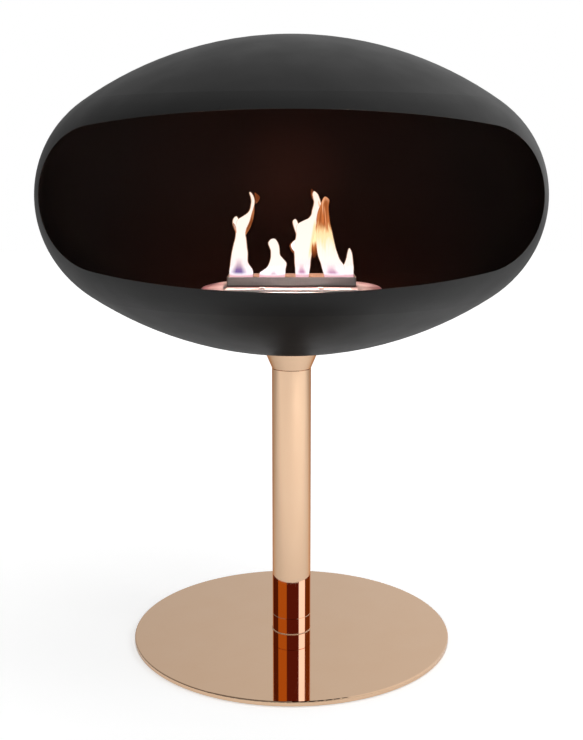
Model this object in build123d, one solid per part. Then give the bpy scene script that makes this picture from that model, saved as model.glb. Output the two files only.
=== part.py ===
from build123d import *
import os

# Pedestal ethanol fireplace. An oval steel firebox, open at the front, stands on a polished
# copper-finish mast and round base. A round drum burner with a rectangular neck sits in the
# bottom of the firebox, in a pan that one tie rod clamps down through the whole mast.
# Millimetres. The origin is on the floor, on the mast's axis. The opening faces -Y, +Z is up.

# Floor pad and base plate
PAD_THICKNESS = 1.0
PAD_INSET = 8.0
BASE_DIAMETER = 400.0
BASE_THICKNESS = 6.0
BASE_TOP_ROUND = 1.5
BASE_BOTTOM_CHAMFER = 0.8

# Mast: lower collar, tube, flared head collar and the tie rod inside them
TUBE_DIAMETER = 48.3
TUBE_WALL = 2.0
TUBE_LENGTH = 319.2
COLLAR_HEIGHT = 21.0
SPIGOT_LENGTH = 30.0
SPIGOT_CLEARANCE = 0.15
SEAM_CHAMFER = 0.4
FLARE_HEIGHT = 20.0
FLARE_DIAMETER = 65.0
ROD_DIAMETER = 12.0
ROD_CLEARANCE = 0.5
ROD_GRIP = 34.0
ROD_END_STANDOUT = 2.7

# Fastener sizes: shank, head, socket depth, width of the hexagon socket and rounding of the head
BASE_SCREW = dict(shank=8.0, head=15.0, socket_depth=2.0, socket=5.0)
BASE_SCREW_CIRCLE = 30.0
BASE_SCREW_COUNT = 4
BASE_SCREW_GRIP = 13.0
COLLAR_SCREW = dict(shank=6.0, head=10.0, head_height=6.0, head_round=0.9, socket_depth=3.0, socket=5.0)
COLLAR_SCREW_CIRCLE = 40.0
COLLAR_SCREW_COUNT = 3
COLLAR_SCREW_GRIP = 12.0
NECK_SCREW = dict(shank=4.0, head=7.6, head_height=2.6, head_round=1.56, socket_depth=1.3, socket=2.5)
NECK_NUT_FLATS = 7.0
NECK_NUT_HEIGHT = 3.2
ROD_NUT_FLATS = 18.0
ROD_NUT_HEIGHT = 10.8
WASHER_DIAMETER = 24.0
WASHER_THICKNESS = 2.5
HEAD_RECESS = 0.3
HOLE_CLEARANCE = 0.3
THREAD_CLEARANCE = 0.05
THREAD_END_GAP = 1.0
THREAD_LEAD_IN_SHARE = 0.1
NUT_FACE_SHARE = 0.96
NUT_CHAMFER_SHARE = 0.25
SEAT_GAP = 0.05

# Firebox: a four-arc oval turned about the mast's axis, cut open through its front
GASKET_THICKNESS = 0.8
GASKET_INSET = 0.5
FIREBOX_DIAMETER = 600.0
FIREBOX_HEIGHT = 372.0
FIREBOX_END_RADIUS = 133.5
SHELL_WALL = 2.0
OPENING_WIDTH = 553.0
OPENING_HEIGHT = 174.0
OPENING_END_RADIUS = 75.0
OPENING_RISE = 4.5
STIFFENER_DIAMETER = 120.0
STIFFENER_CENTRE_THICKNESS = 6.0

# Carrier pan that the burner stands in
PAN_SHEET = 1.5
PAN_WELL_DEPTH = 17.5
PAN_WELL_RUN = 26.0
PAN_RIM_HEIGHT = 9.5
PAN_RIM_CLEARANCE = 0.5
BURNER_SEAT_GAP = 0.3

# Burner drum and its lid, the heat plate
SHEET = 1.2
DRUM_DIAMETER = 217.4
DRUM_HEIGHT = 47.9
HEAT_PLATE_OVERHANG = 0.1
HEAT_PLATE_SKIRT = 8.3
HEAT_PLATE_ROUND = 3.0
HEAT_PLATE_FLAT_DIAMETER = 196.0
HEAT_PLATE_DROP = 1.0
PAD_FILL_HEIGHT = 38.5
FILL_CLEARANCE = 0.3
GRILLE_HOLE = 12.0
GRILLE_PITCH = 17.0
GRILLE_COLUMNS = 9
GRILLE_ROWS = 5

# Burner neck: a rectangular box on a flange, and the fibre gasket under it
NECK_WIDTH = 154.0
NECK_DEPTH = 48.0
NECK_HEIGHT = 11.4
NECK_CORNER = 2.0
FLANGE_WIDTH = 156.0
FLANGE_DEPTH = 110.0
FLANGE_THICKNESS = 1.5
FLANGE_CORNER = 3.0
NECK_GASKET = 0.8
NECK_SCREW_SPACING_X = 69.0
NECK_SCREW_SPACING_Y = 96.0
SLOT_WIDTH = 144.0

# Regulator gate, which slides forward under the slot to turn the flame down and out
GATE_SHEET = 1.5
GATE_WIDTH = 148.0
GATE_DEPTH = 52.0
GATE_CORNER = 6.0
GATE_TRAVEL = 43.5
GATE_CLEARANCE = 0.3
GATE_FINGER_WIDTH = 30.0
GATE_FINGER_HEIGHT = 5.0
GATE_FINGER_SETBACK = 3.0
GATE_FINGER_GAP = 0.6
RUNNER_DEPTH = 7.1
RUNNER_LIP = 8.0
RUNNER_FLANGE = 8.5
RUNNER_LENGTH = 78.0

# Heights, each stacked on the one before
Z_BASE = PAD_THICKNESS
Z_BASE_TOP = Z_BASE + BASE_THICKNESS
Z_TUBE = Z_BASE_TOP + COLLAR_HEIGHT
Z_FLARE = Z_TUBE + TUBE_LENGTH
Z_SHELL = Z_FLARE + FLARE_HEIGHT + GASKET_THICKNESS
Z_CENTRE = Z_SHELL + FIREBOX_HEIGHT / 2
Z_STIFFENER_TOP = Z_SHELL + SHELL_WALL + STIFFENER_CENTRE_THICKNESS
Z_PAN_FLOOR = Z_STIFFENER_TOP + PAN_SHEET
Z_NUT = Z_PAN_FLOOR + WASHER_THICKNESS
Z_ROD_END = Z_NUT + ROD_NUT_HEIGHT + ROD_END_STANDOUT
Z_PAN_SEAT = Z_PAN_FLOOR + PAN_WELL_DEPTH
Z_DRUM = Z_PAN_SEAT + BURNER_SEAT_GAP
Z_DRUM_TOP = Z_DRUM + DRUM_HEIGHT
Z_PLATE_EDGE = Z_DRUM_TOP + HEAT_PLATE_ROUND + SEAT_GAP
Z_PLATE_TOP = Z_PLATE_EDGE + HEAT_PLATE_DROP
Z_PLATE_UNDER = Z_PLATE_TOP - SHEET
Z_FLANGE = Z_PLATE_TOP + NECK_GASKET
Z_NECK = Z_FLANGE + FLANGE_THICKNESS
Z_RUNNER = Z_PLATE_UNDER - RUNNER_DEPTH
Z_GATE = Z_RUNNER + SHEET + GATE_CLEARANCE

# Radii and half widths that several pieces share
TUBE_RADIUS = TUBE_DIAMETER / 2
SPIGOT_RADIUS = TUBE_RADIUS - TUBE_WALL - SPIGOT_CLEARANCE
ROD_RADIUS = ROD_DIAMETER / 2
ROD_HOLE_RADIUS = ROD_RADIUS + ROD_CLEARANCE
DRUM_RADIUS = DRUM_DIAMETER / 2
PLATE_INNER_RADIUS = DRUM_RADIUS + HEAT_PLATE_OVERHANG
PLATE_RADIUS = PLATE_INNER_RADIUS + SHEET
SLOT_DEPTH = NECK_DEPTH - 2 * SHEET
GATE_REAR_LIMIT = SLOT_DEPTH / 2 - GATE_FINGER_GAP
GATE_FRONT = GATE_REAR_LIMIT - SHEET - GATE_FINGER_SETBACK


def turned(*outline):
    """Solid of revolution about Z from a closed outline of (radius, height) points."""
    return revolve(Plane.XZ * make_face(Polyline(*outline, close=True)), Axis.Z)


def rod(radius, low, high):
    """Upright cylinder on the axis between two heights."""
    return Pos(0, 0, low) * Cylinder(radius, high - low, align=(Align.CENTER, Align.CENTER, Align.MIN))


def slab(width, depth, low, high, corner):
    """Flat plate between two heights with rounded upright corners."""
    return Pos(0, 0, low) * extrude(RectangleRounded(width, depth, corner), high - low)


def block(x_range, y_range, z_range):
    """Box between two limits along each axis."""
    size = [high - low for low, high in (x_range, y_range, z_range)]
    return Pos(x_range[0], y_range[0], z_range[0]) * Box(*size, align=Align.MIN)


def crown_radius(half_width, half_height, end_radius):
    """Radius of the two flat arcs of an oval whose round ends have end_radius."""
    run = half_width - end_radius
    return (run**2 + half_height**2 - end_radius**2) / (2 * (half_height - end_radius))


def half_oval(half_width, half_height, end_radius):
    """Right half of a four-arc oval, from its lowest point up to its highest."""
    crown = crown_radius(half_width, half_height, end_radius)
    drop = crown - half_height
    share = crown / (crown - end_radius)
    meet_x = (half_width - end_radius) * share
    meet_y = drop * (share - 1)
    lower = TangentArc((0, -half_height), (meet_x, -meet_y), tangent=(1, 0))
    end = ThreePointArc((meet_x, -meet_y), (half_width, 0), (meet_x, meet_y))
    upper = TangentArc((0, half_height), (meet_x, meet_y), tangent=(1, 0))
    return Curve() + [lower, end, upper]


def turned_oval(offset):
    """Solid oval turned about the mast's axis, as far inside the firebox's skin as offset."""
    half_height = FIREBOX_HEIGHT / 2 - offset
    outline = half_oval(FIREBOX_DIAMETER / 2 - offset, half_height, FIREBOX_END_RADIUS - offset)
    axis_line = Line((0, half_height), (0, -half_height))
    return Pos(0, 0, Z_CENTRE) * revolve(Plane.XZ * make_face(outline + axis_line), Axis.Z)


def opening_cutter():
    """Straight front-to-axis prism of the firebox's opening."""
    right = half_oval(OPENING_WIDTH / 2, OPENING_HEIGHT / 2, OPENING_END_RADIUS)
    outline = make_face(right + mirror(right, Plane.YZ))
    return Pos(0, 0, Z_CENTRE + OPENING_RISE) * extrude(Plane.XZ * outline, FIREBOX_DIAMETER / 2 + SHELL_WALL)


def skin_ball(offset):
    """Ball that matches the firebox's lower crown, offset below it, or above where negative."""
    crown = crown_radius(FIREBOX_DIAMETER / 2, FIREBOX_HEIGHT / 2, FIREBOX_END_RADIUS)
    return Pos(0, 0, Z_SHELL + crown) * Sphere(crown + offset)


def drill(shape, diameter, centres):
    """Shape with upright through holes at the given points."""
    for x, y in centres:
        shape -= Pos(x, y, Z_CENTRE) * Cylinder(diameter / 2, 2 * Z_CENTRE)
    return shape


def circle_points(circle, count):
    """Points spread evenly on a circle of the given diameter."""
    return [(place.position.X, place.position.Y) for place in PolarLocations(circle / 2, count)]


def socket_screw(size, head_base, tip):
    """Screw with a hexagon socket, its head standing on head_base and its tip below."""
    head_top = head_base + size["head_height"]
    head = rod(size["head"] / 2, head_base, head_top)
    head = fillet(head.edges().group_by(Axis.Z)[-1], size["head_round"])
    depth = size["socket_depth"]
    socket = Pos(0, 0, head_top - depth) * extrude(hexagon(size["socket"]), depth)
    shank = rod(size["shank"] / 2, tip, head_base)
    return head + chamfer(shank.edges().group_by(Axis.Z)[0], size["shank"] * THREAD_LEAD_IN_SHARE) - socket


def hexagon(flats):
    """Hexagon of a given width across flats."""
    return RegularPolygon(flats / 2, 6, major_radius=False)


def hexagon_nut(flats, height, bore, base):
    """Nut with chamfered corners, standing on base."""
    prism = extrude(hexagon(flats), height)
    face = flats / 2 * NUT_FACE_SHARE
    rise = height * NUT_CHAMFER_SHARE
    barrel = turned((0, 0), (face, 0), (face + 2 * rise, rise), (face + 2 * rise, height - rise),
                    (face, height), (0, height))
    return Pos(0, 0, base) * ((prism & barrel) - rod(bore / 2, 0, height))


def group(shape, centres):
    """Copies of one shape at several points, as one node of separate solids."""
    return Compound(children=[Pos(x, y, 0) * shape for x, y in centres])


BASE_SCREWS = circle_points(BASE_SCREW_CIRCLE, BASE_SCREW_COUNT)
COLLAR_SCREWS = circle_points(COLLAR_SCREW_CIRCLE, COLLAR_SCREW_COUNT)
NECK_SCREWS = [(x * NECK_SCREW_SPACING_X / 2, y * NECK_SCREW_SPACING_Y / 2) for x in (-1, 1) for y in (-1, 1)]


def floor_pad():
    """Thin felt disc glued under the base plate."""
    return rod(BASE_DIAMETER / 2 - PAD_INSET, 0, PAD_THICKNESS)


def base_plate():
    """Polished disc with countersunk holes for the screws that hold the lower collar."""
    disc = rod(BASE_DIAMETER / 2, Z_BASE, Z_BASE_TOP)
    disc = fillet(disc.edges().group_by(Axis.Z)[-1], BASE_TOP_ROUND)
    disc = chamfer(disc.edges().group_by(Axis.Z)[0], BASE_BOTTOM_CHAMFER)
    disc = drill(disc, BASE_SCREW["shank"] + 2 * HOLE_CLEARANCE, BASE_SCREWS)
    head = BASE_SCREW["head"] / 2 + SEAT_GAP
    hole = BASE_SCREW["shank"] / 2 + HOLE_CLEARANCE
    sink = turned((0, Z_BASE), (head, Z_BASE), (head, Z_BASE + HEAD_RECESS),
                  (hole, Z_BASE + HEAD_RECESS + head - hole), (0, Z_BASE + HEAD_RECESS + head - hole))
    for x, y in BASE_SCREWS:
        disc -= Pos(x, y, 0) * sink
    return disc


def base_screws():
    """Countersunk screws driven up through the base plate into the lower collar."""
    shank = BASE_SCREW["shank"] / 2
    head = BASE_SCREW["head"] / 2
    foot = Z_BASE + HEAD_RECESS
    top = Z_BASE_TOP + BASE_SCREW_GRIP
    screw = turned((0, foot), (head, foot), (shank, foot + head - shank), (shank, top), (0, top))
    screw -= Pos(0, 0, foot) * extrude(hexagon(BASE_SCREW["socket"]), BASE_SCREW["socket_depth"])
    return group(screw, BASE_SCREWS)


def base_collar():
    """Turned foot of the mast, with a spigot inside the tube and a thread for the tie rod."""
    top = Z_TUBE + SPIGOT_LENGTH
    body = turned((0, Z_BASE_TOP), (TUBE_RADIUS, Z_BASE_TOP), (TUBE_RADIUS, Z_TUBE - SEAM_CHAMFER),
                  (TUBE_RADIUS - SEAM_CHAMFER, Z_TUBE), (SPIGOT_RADIUS, Z_TUBE),
                  (SPIGOT_RADIUS, top - SEAM_CHAMFER), (SPIGOT_RADIUS - SEAM_CHAMFER, top), (0, top))
    body -= rod(ROD_RADIUS + THREAD_CLEARANCE, top - ROD_GRIP, top)
    tap = rod(BASE_SCREW["shank"] / 2 + THREAD_CLEARANCE, Z_BASE_TOP,
              Z_BASE_TOP + BASE_SCREW_GRIP + THREAD_END_GAP)
    for x, y in BASE_SCREWS:
        body -= Pos(x, y, 0) * tap
    return body


def pedestal_tube():
    """Polished mast tube, chamfered at both ends where it meets the collars."""
    outer = TUBE_RADIUS
    inner = TUBE_RADIUS - TUBE_WALL
    return turned((inner, Z_TUBE), (outer - SEAM_CHAMFER, Z_TUBE), (outer, Z_TUBE + SEAM_CHAMFER),
                  (outer, Z_FLARE - SEAM_CHAMFER), (outer - SEAM_CHAMFER, Z_FLARE), (inner, Z_FLARE))


def tie_rod():
    """Threaded rod that clamps base, mast, firebox and pan together."""
    foot = Z_TUBE + SPIGOT_LENGTH - ROD_GRIP + THREAD_END_GAP
    bar = rod(ROD_RADIUS, foot, Z_ROD_END)
    ends = bar.edges().group_by(Axis.Z)
    return chamfer(ends[0] + ends[-1], ROD_DIAMETER * THREAD_LEAD_IN_SHARE)


def flared_collar():
    """Turned head of the mast: a spigot in the tube, then a cone that widens to the firebox."""
    foot = Z_FLARE - SPIGOT_LENGTH
    top = Z_FLARE + FLARE_HEIGHT + FLARE_DIAMETER / 10
    slope = (FLARE_DIAMETER / 2 - TUBE_RADIUS) / FLARE_HEIGHT
    edge = TUBE_RADIUS + slope * (top - Z_FLARE)
    body = turned((0, foot), (SPIGOT_RADIUS - SEAM_CHAMFER, foot), (SPIGOT_RADIUS, foot + SEAM_CHAMFER),
                  (SPIGOT_RADIUS, Z_FLARE), (TUBE_RADIUS - SEAM_CHAMFER, Z_FLARE),
                  (TUBE_RADIUS, Z_FLARE + SEAM_CHAMFER), (edge, top), (0, top))
    body -= skin_ball(GASKET_THICKNESS + SEAT_GAP)
    body -= rod(ROD_HOLE_RADIUS, foot, top)
    tap = rod(COLLAR_SCREW["shank"] / 2 + THREAD_CLEARANCE,
              Z_SHELL - GASKET_THICKNESS - COLLAR_SCREW_GRIP - THREAD_END_GAP, top)
    for x, y in COLLAR_SCREWS:
        body -= Pos(x, y, 0) * tap
    return body


def shell_gasket():
    """Thin graphite washer between the flared collar and the firebox's underside."""
    ring = rod(FLARE_DIAMETER / 2 - GASKET_INSET, Z_FLARE, Z_CENTRE) & skin_ball(GASKET_THICKNESS)
    ring -= skin_ball(SEAT_GAP)
    ring = drill(ring, 2 * ROD_HOLE_RADIUS, [(0, 0)])
    return drill(ring, COLLAR_SCREW["shank"] + 2 * HOLE_CLEARANCE, COLLAR_SCREWS)


def firebox_shell(low, high):
    """Part of the spun steel oval between two heights, with its share of the front opening."""
    reach = FIREBOX_DIAMETER / 2 + SHELL_WALL
    pressing = turned_oval(0) & block((-reach, reach), (-reach, reach), (low, high))
    return pressing - turned_oval(SHELL_WALL) - opening_cutter()


def firebox_lower():
    """Lower pressing, drilled for the tie rod and the collar screws."""
    shell = firebox_shell(Z_FLARE, Z_CENTRE)
    holes = rod(ROD_HOLE_RADIUS, Z_FLARE, Z_STIFFENER_TOP)
    screw_hole = rod(COLLAR_SCREW["shank"] / 2 + HOLE_CLEARANCE, Z_FLARE, Z_STIFFENER_TOP)
    for x, y in COLLAR_SCREWS:
        holes += Pos(x, y, 0) * screw_hole
    return shell - holes


def firebox_upper():
    """Upper pressing, welded to the lower one along the oval's widest line and ground flush."""
    return firebox_shell(Z_CENTRE, Z_SHELL + FIREBOX_HEIGHT + SHELL_WALL)


def stiffener():
    """Turned disc that fits the inside of the firebox's bottom and takes the clamping load."""
    disc = rod(STIFFENER_DIAMETER / 2, Z_SHELL, Z_STIFFENER_TOP) & skin_ball(-SHELL_WALL - SEAT_GAP)
    disc = drill(disc, 2 * ROD_HOLE_RADIUS, [(0, 0)])
    return drill(disc, COLLAR_SCREW["shank"] + 2 * HOLE_CLEARANCE, COLLAR_SCREWS)


def carrier_pan():
    """Spun pan: a flat middle under the nut, a cone up to the seat and a low rim round the drum."""
    inner = DRUM_RADIUS + PAN_RIM_CLEARANCE
    outer = inner + PAN_SHEET
    flat = STIFFENER_DIAMETER / 2
    seat = flat + PAN_WELL_RUN
    floor = Z_PAN_FLOOR - PAN_SHEET
    rim = Z_PAN_SEAT + PAN_RIM_HEIGHT
    pan = turned((0, floor), (flat, floor), (seat, Z_PAN_SEAT - PAN_SHEET), (outer, Z_PAN_SEAT - PAN_SHEET),
                 (outer, rim), (inner, rim), (inner, Z_PAN_SEAT), (seat - PAN_SHEET, Z_PAN_SEAT),
                 (flat - PAN_SHEET, Z_PAN_FLOOR), (0, Z_PAN_FLOOR))
    pan = drill(pan, 2 * ROD_HOLE_RADIUS, [(0, 0)])
    return drill(pan, COLLAR_SCREW["shank"] + 2 * HOLE_CLEARANCE, COLLAR_SCREWS)


def collar_screws():
    """Cap screws through pan, stiffener, shell and gasket into the flared collar."""
    screw = socket_screw(COLLAR_SCREW, Z_PAN_FLOOR, Z_SHELL - GASKET_THICKNESS - COLLAR_SCREW_GRIP)
    return group(screw, COLLAR_SCREWS)


def rod_washer():
    """Washer under the tie rod's nut."""
    ring = rod(WASHER_DIAMETER / 2, Z_PAN_FLOOR, Z_NUT)
    return ring - rod(ROD_HOLE_RADIUS, Z_PAN_FLOOR, Z_NUT)


def rod_nut():
    """Nut that clamps the whole stack."""
    return hexagon_nut(ROD_NUT_FLATS, ROD_NUT_HEIGHT, ROD_DIAMETER + 2 * THREAD_CLEARANCE, Z_NUT)


def burner_drum():
    """Spun stainless fuel drum, open at the top."""
    inner = DRUM_RADIUS - SHEET
    return turned((0, Z_DRUM), (DRUM_RADIUS, Z_DRUM), (DRUM_RADIUS, Z_DRUM_TOP), (inner, Z_DRUM_TOP),
                  (inner, Z_DRUM + SHEET), (0, Z_DRUM + SHEET))


def absorber_pad():
    """Ceramic-fibre disc that soaks up the fuel."""
    floor = Z_DRUM + SHEET
    return rod(DRUM_RADIUS - SHEET - FILL_CLEARANCE, floor, floor + PAD_FILL_HEIGHT)


def retaining_grille():
    """Perforated disc that lies on the absorber and holds it down."""
    floor = Z_DRUM + SHEET + PAD_FILL_HEIGHT
    disc = rod(DRUM_RADIUS - SHEET - FILL_CLEARANCE, floor, floor + SHEET)
    grid = GridLocations(GRILLE_PITCH, GRILLE_PITCH, GRILLE_COLUMNS, GRILLE_ROWS)
    return drill(disc, GRILLE_HOLE, [(place.position.X, place.position.Y) for place in grid])


def heat_plate():
    """Polished round lid of the drum, slightly crowned, with a rolled skirt and the flame slot."""
    flat = HEAT_PLATE_FLAT_DIAMETER / 2
    bend = PLATE_RADIUS - HEAT_PLATE_ROUND
    bend_z = Z_PLATE_EDGE - HEAT_PLATE_ROUND
    under = Z_PLATE_EDGE - SHEET
    foot = Z_PLATE_EDGE - HEAT_PLATE_SKIRT
    outline = Curve() + [
        Polyline((0, Z_PLATE_UNDER), (0, Z_PLATE_TOP), (flat, Z_PLATE_TOP), (bend, Z_PLATE_EDGE)),
        RadiusArc((bend, Z_PLATE_EDGE), (PLATE_RADIUS, bend_z), HEAT_PLATE_ROUND),
        Polyline((PLATE_RADIUS, bend_z), (PLATE_RADIUS, foot), (PLATE_INNER_RADIUS, foot),
                 (PLATE_INNER_RADIUS, bend_z)),
        RadiusArc((bend, under), (PLATE_INNER_RADIUS, bend_z), HEAT_PLATE_ROUND - SHEET),
        Polyline((bend, under), (flat, Z_PLATE_UNDER), (0, Z_PLATE_UNDER)),
    ]
    plate = revolve(Plane.XZ * make_face(outline), Axis.Z)
    plate -= slab(SLOT_WIDTH, SLOT_DEPTH, Z_PLATE_UNDER, Z_PLATE_TOP, NECK_CORNER)
    return drill(plate, NECK_SCREW["shank"] + 2 * HOLE_CLEARANCE, NECK_SCREWS)


def flange_sheet(low, high):
    """Flange outline between two heights, with its screw holes and the neck's mouth."""
    sheet = slab(FLANGE_WIDTH, FLANGE_DEPTH, low, high, FLANGE_CORNER)
    sheet -= slab(NECK_WIDTH - 2 * SHEET, SLOT_DEPTH, low, high, NECK_CORNER - SHEET)
    return drill(sheet, NECK_SCREW["shank"] + 2 * HOLE_CLEARANCE, NECK_SCREWS)


def neck_gasket():
    """Ceramic-fibre paper under the neck's flange."""
    return flange_sheet(Z_PLATE_TOP, Z_FLANGE)


def burner_neck():
    """Open rectangular box with its flange, folded and welded from one sheet."""
    top = Z_NECK + NECK_HEIGHT
    wall = slab(NECK_WIDTH, NECK_DEPTH, Z_FLANGE, top, NECK_CORNER)
    wall -= slab(NECK_WIDTH - 2 * SHEET, SLOT_DEPTH, Z_FLANGE, top, NECK_CORNER - SHEET)
    return flange_sheet(Z_FLANGE, Z_NECK) + wall


def neck_screws():
    """Pan-head screws that hold the neck to the heat plate."""
    tip = Z_PLATE_UNDER - NECK_NUT_HEIGHT - HEAD_RECESS
    return group(socket_screw(NECK_SCREW, Z_NECK, tip), NECK_SCREWS)


def neck_nuts():
    """Nuts under the heat plate."""
    bore = NECK_SCREW["shank"] + 2 * THREAD_CLEARANCE
    return group(hexagon_nut(NECK_NUT_FLATS, NECK_NUT_HEIGHT, bore, Z_PLATE_UNDER - NECK_NUT_HEIGHT), NECK_SCREWS)


def gate_runner(side):
    """Z-section rail under the heat plate that carries one end of the gate, with a front stop."""
    web = GATE_WIDTH / 2 + GATE_CLEARANCE
    front = GATE_FRONT - GATE_TRAVEL - GATE_CLEARANCE - SHEET
    length = (front, front + RUNNER_LENGTH)
    rail = block((web, web + SHEET), length, (Z_RUNNER, Z_PLATE_UNDER))
    rail += block((web - RUNNER_LIP, web), length, (Z_RUNNER, Z_RUNNER + SHEET))
    rail += block((web, web + RUNNER_FLANGE), length, (Z_PLATE_UNDER - SHEET, Z_PLATE_UNDER))
    rail += block((web - RUNNER_LIP, web), (front, front + SHEET), (Z_RUNNER, Z_GATE + GATE_SHEET))
    return rail if side > 0 else mirror(rail, Plane.YZ)


def regulator_gate():
    """Sliding plate with an upturned finger that the hook of the lighting tool catches."""
    middle = GATE_FRONT + GATE_DEPTH / 2
    plate = Pos(0, middle, 0) * slab(GATE_WIDTH, GATE_DEPTH, Z_GATE, Z_GATE + GATE_SHEET, GATE_CORNER)
    finger_y = (GATE_REAR_LIMIT - SHEET, GATE_REAR_LIMIT)
    half = GATE_FINGER_WIDTH / 2
    return plate + block((-half, half), finger_y, (Z_GATE, Z_GATE + GATE_SHEET + GATE_FINGER_HEIGHT))


NODES = {
    "floor_pad": floor_pad,
    "base_plate": base_plate,
    "base_screws": base_screws,
    "base_collar": base_collar,
    "pedestal_tube": pedestal_tube,
    "tie_rod": tie_rod,
    "flared_collar": flared_collar,
    "shell_gasket": shell_gasket,
    "firebox_lower": firebox_lower,
    "firebox_upper": firebox_upper,
    "stiffener_disc": stiffener,
    "carrier_pan": carrier_pan,
    "collar_screws": collar_screws,
    "rod_washer": rod_washer,
    "rod_nut": rod_nut,
    "burner_drum": burner_drum,
    "absorber_pad": absorber_pad,
    "retaining_grille": retaining_grille,
    "heat_plate": heat_plate,
    "neck_gasket": neck_gasket,
    "burner_neck": burner_neck,
    "neck_screws": neck_screws,
    "neck_nuts": neck_nuts,
    "gate_runner_left": lambda: gate_runner(-1),
    "gate_runner_right": lambda: gate_runner(1),
    "regulator_gate": regulator_gate,
}

os.makedirs("parts", exist_ok=True)
for node, make in NODES.items():
    export_step(make(), f"parts/{node}.step")
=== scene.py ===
import math

import bmesh
import bpy
from bpy.props import FloatProperty, FloatVectorProperty, PointerProperty
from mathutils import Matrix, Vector, noise


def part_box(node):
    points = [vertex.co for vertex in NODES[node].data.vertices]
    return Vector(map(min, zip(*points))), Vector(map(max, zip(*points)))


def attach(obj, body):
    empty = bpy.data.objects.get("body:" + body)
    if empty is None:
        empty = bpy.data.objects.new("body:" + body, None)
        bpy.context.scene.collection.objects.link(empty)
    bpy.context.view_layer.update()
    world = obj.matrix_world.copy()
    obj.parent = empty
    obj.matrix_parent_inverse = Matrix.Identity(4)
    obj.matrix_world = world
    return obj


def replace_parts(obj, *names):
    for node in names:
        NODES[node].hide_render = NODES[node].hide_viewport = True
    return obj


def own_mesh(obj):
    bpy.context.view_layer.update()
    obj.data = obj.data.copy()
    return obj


bl_info = {
    "name": "Pedestal ethanol fireplace",
    "version": (1, 0, 0),
    "blender": (4, 5, 0),
    "location": "3D View > Sidebar > Fireplace",
    "description": "Gives the packed fireplace its finishes, flames and studio",
    "category": "Object",
}

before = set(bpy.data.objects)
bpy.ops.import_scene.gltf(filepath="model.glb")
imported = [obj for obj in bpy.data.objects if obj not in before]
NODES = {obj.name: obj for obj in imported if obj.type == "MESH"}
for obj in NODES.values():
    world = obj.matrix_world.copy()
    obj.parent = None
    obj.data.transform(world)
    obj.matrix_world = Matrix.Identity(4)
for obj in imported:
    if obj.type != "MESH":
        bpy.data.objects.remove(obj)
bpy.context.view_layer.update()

MM = 0.001


def linear(hex_colour):
    """Linear RGBA of an sRGB hex colour."""
    channels = [int(hex_colour[i:i + 2], 16) / 255 for i in (0, 2, 4)]
    return tuple(c / 12.92 if c <= 0.04045 else ((c + 0.055) / 1.055) ** 2.4 for c in channels) + (1.0,)


# Inputs by number. Mix: 0 factor, 2 and 3 the numbers, 6 and 7 the colours that it goes between. Map Range:
# 0 value, 1 and 2 the range that it comes from, 3 and 4 the range that it goes to. Both ranges are 0 to 1
# where they aren't given.
def add(tree, kind, inputs=None, **settings):
    """Adds a shader node with its settings. An input is given a value, another node's output socket, or a
    node, which is linked from the first output that it has in use."""
    made = tree.nodes.new("ShaderNode" + kind)
    for key, value in settings.items():
        setattr(made, key, value)
    for key, value in (inputs or {}).items():
        if isinstance(value, bpy.types.Node):
            value = next(output for output in value.outputs if output.enabled)
        if isinstance(value, bpy.types.NodeSocket):
            tree.links.new(value, made.inputs[key])
        else:
            made.inputs[key].default_value = value
    return made


# Real sizes in millimetres that the finishes are drawn from
PEEL_SIZE = 1.6          # orange peel of the powder coat, drawn four times as coarse so that it shows
PEEL_DEPTH = 0.015
BRUSH_LENGTH = 60.0      # one scratch of the satin brush
BRUSH_PITCH = 0.6        # across the scratches, coarser than a real 180 grit brush
BRUSH_DEPTH = 0.004
POLISH_CLOUD = 45.0      # slow changes of gloss left by the polishing wheel
HAIRLINE_DEPTH = 0.0004  # what the wheel leaves of the brush's scratches
FELT_FIBRE = 0.9
FELT_DEPTH = 0.12
FELT_FUZZ = 0.2
CERAMIC_FIBRE = 1.4
CERAMIC_DEPTH = 0.25
CERAMIC_FUZZ = 0.6
PAPER_FUZZ = 0.25
STRAND_STRETCH = 4       # a strand's length to its width
ZINC_SPANGLE = 3.0
GRAPHITE_FLAKE = 0.8
FLOOR_GRAIN = 400.0

# Map Range inputs that span nearly all of a noise's values
NOISE = {1: 0.3, 2: 0.7}

# Second tones of the finishes, beside the colours that a user sets
# Coat inside the firebox away from the fire: painted shade, darker than the outer coat
COAT_IN_PAINTED_SHADE = linear("0E0C0B")
SOOTED_COAT = linear("1A0F0C")
# Lighter coat on the back wall: a painted glow of the flames' light
FIRE_GLOW_COAT = linear("3A2219")
SCRATCHED_STEEL = linear("A2B2B6")
# Dark band round the neck's foot: weld scale and painted contact shadow
WELD_AND_CORNER_SHADE = linear("7A706C")
# Flange rosy by the neck and pale outward: painted firelight
FLANGE_FIRELIT_ROSE = linear("D2A9AD")
FLANGE_LIT_PALE = linear("FBFAFB")
# Heat plate pale by the flames: painted firelight
PLATE_FIRELIT = linear("FAF8F9")
ZINC_SHADE = linear("9A9EA6")
FIBRE_SHADE = linear("BDBAB2")
FELT_SHADE = linear("17171A")
FLAKE_SHINE = linear("45474A")
TUBE_EDGE = (0.85, 0.42, 0.22, 1)     # the drawn tube deepens to red copper where it turns away
GREY_GLEAM = (0.3, 0.3, 0.3, 1)       # sheen of the coat inside the firebox
# Warm tint of the inner coat's reflections near the fire: painted firelight
BROWNED_FIRELIT_GLEAM = (0.3, 0.2, 0.16, 1)
LACQUERED = 0.2                       # metallic share of copper under pooled lacquer

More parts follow.
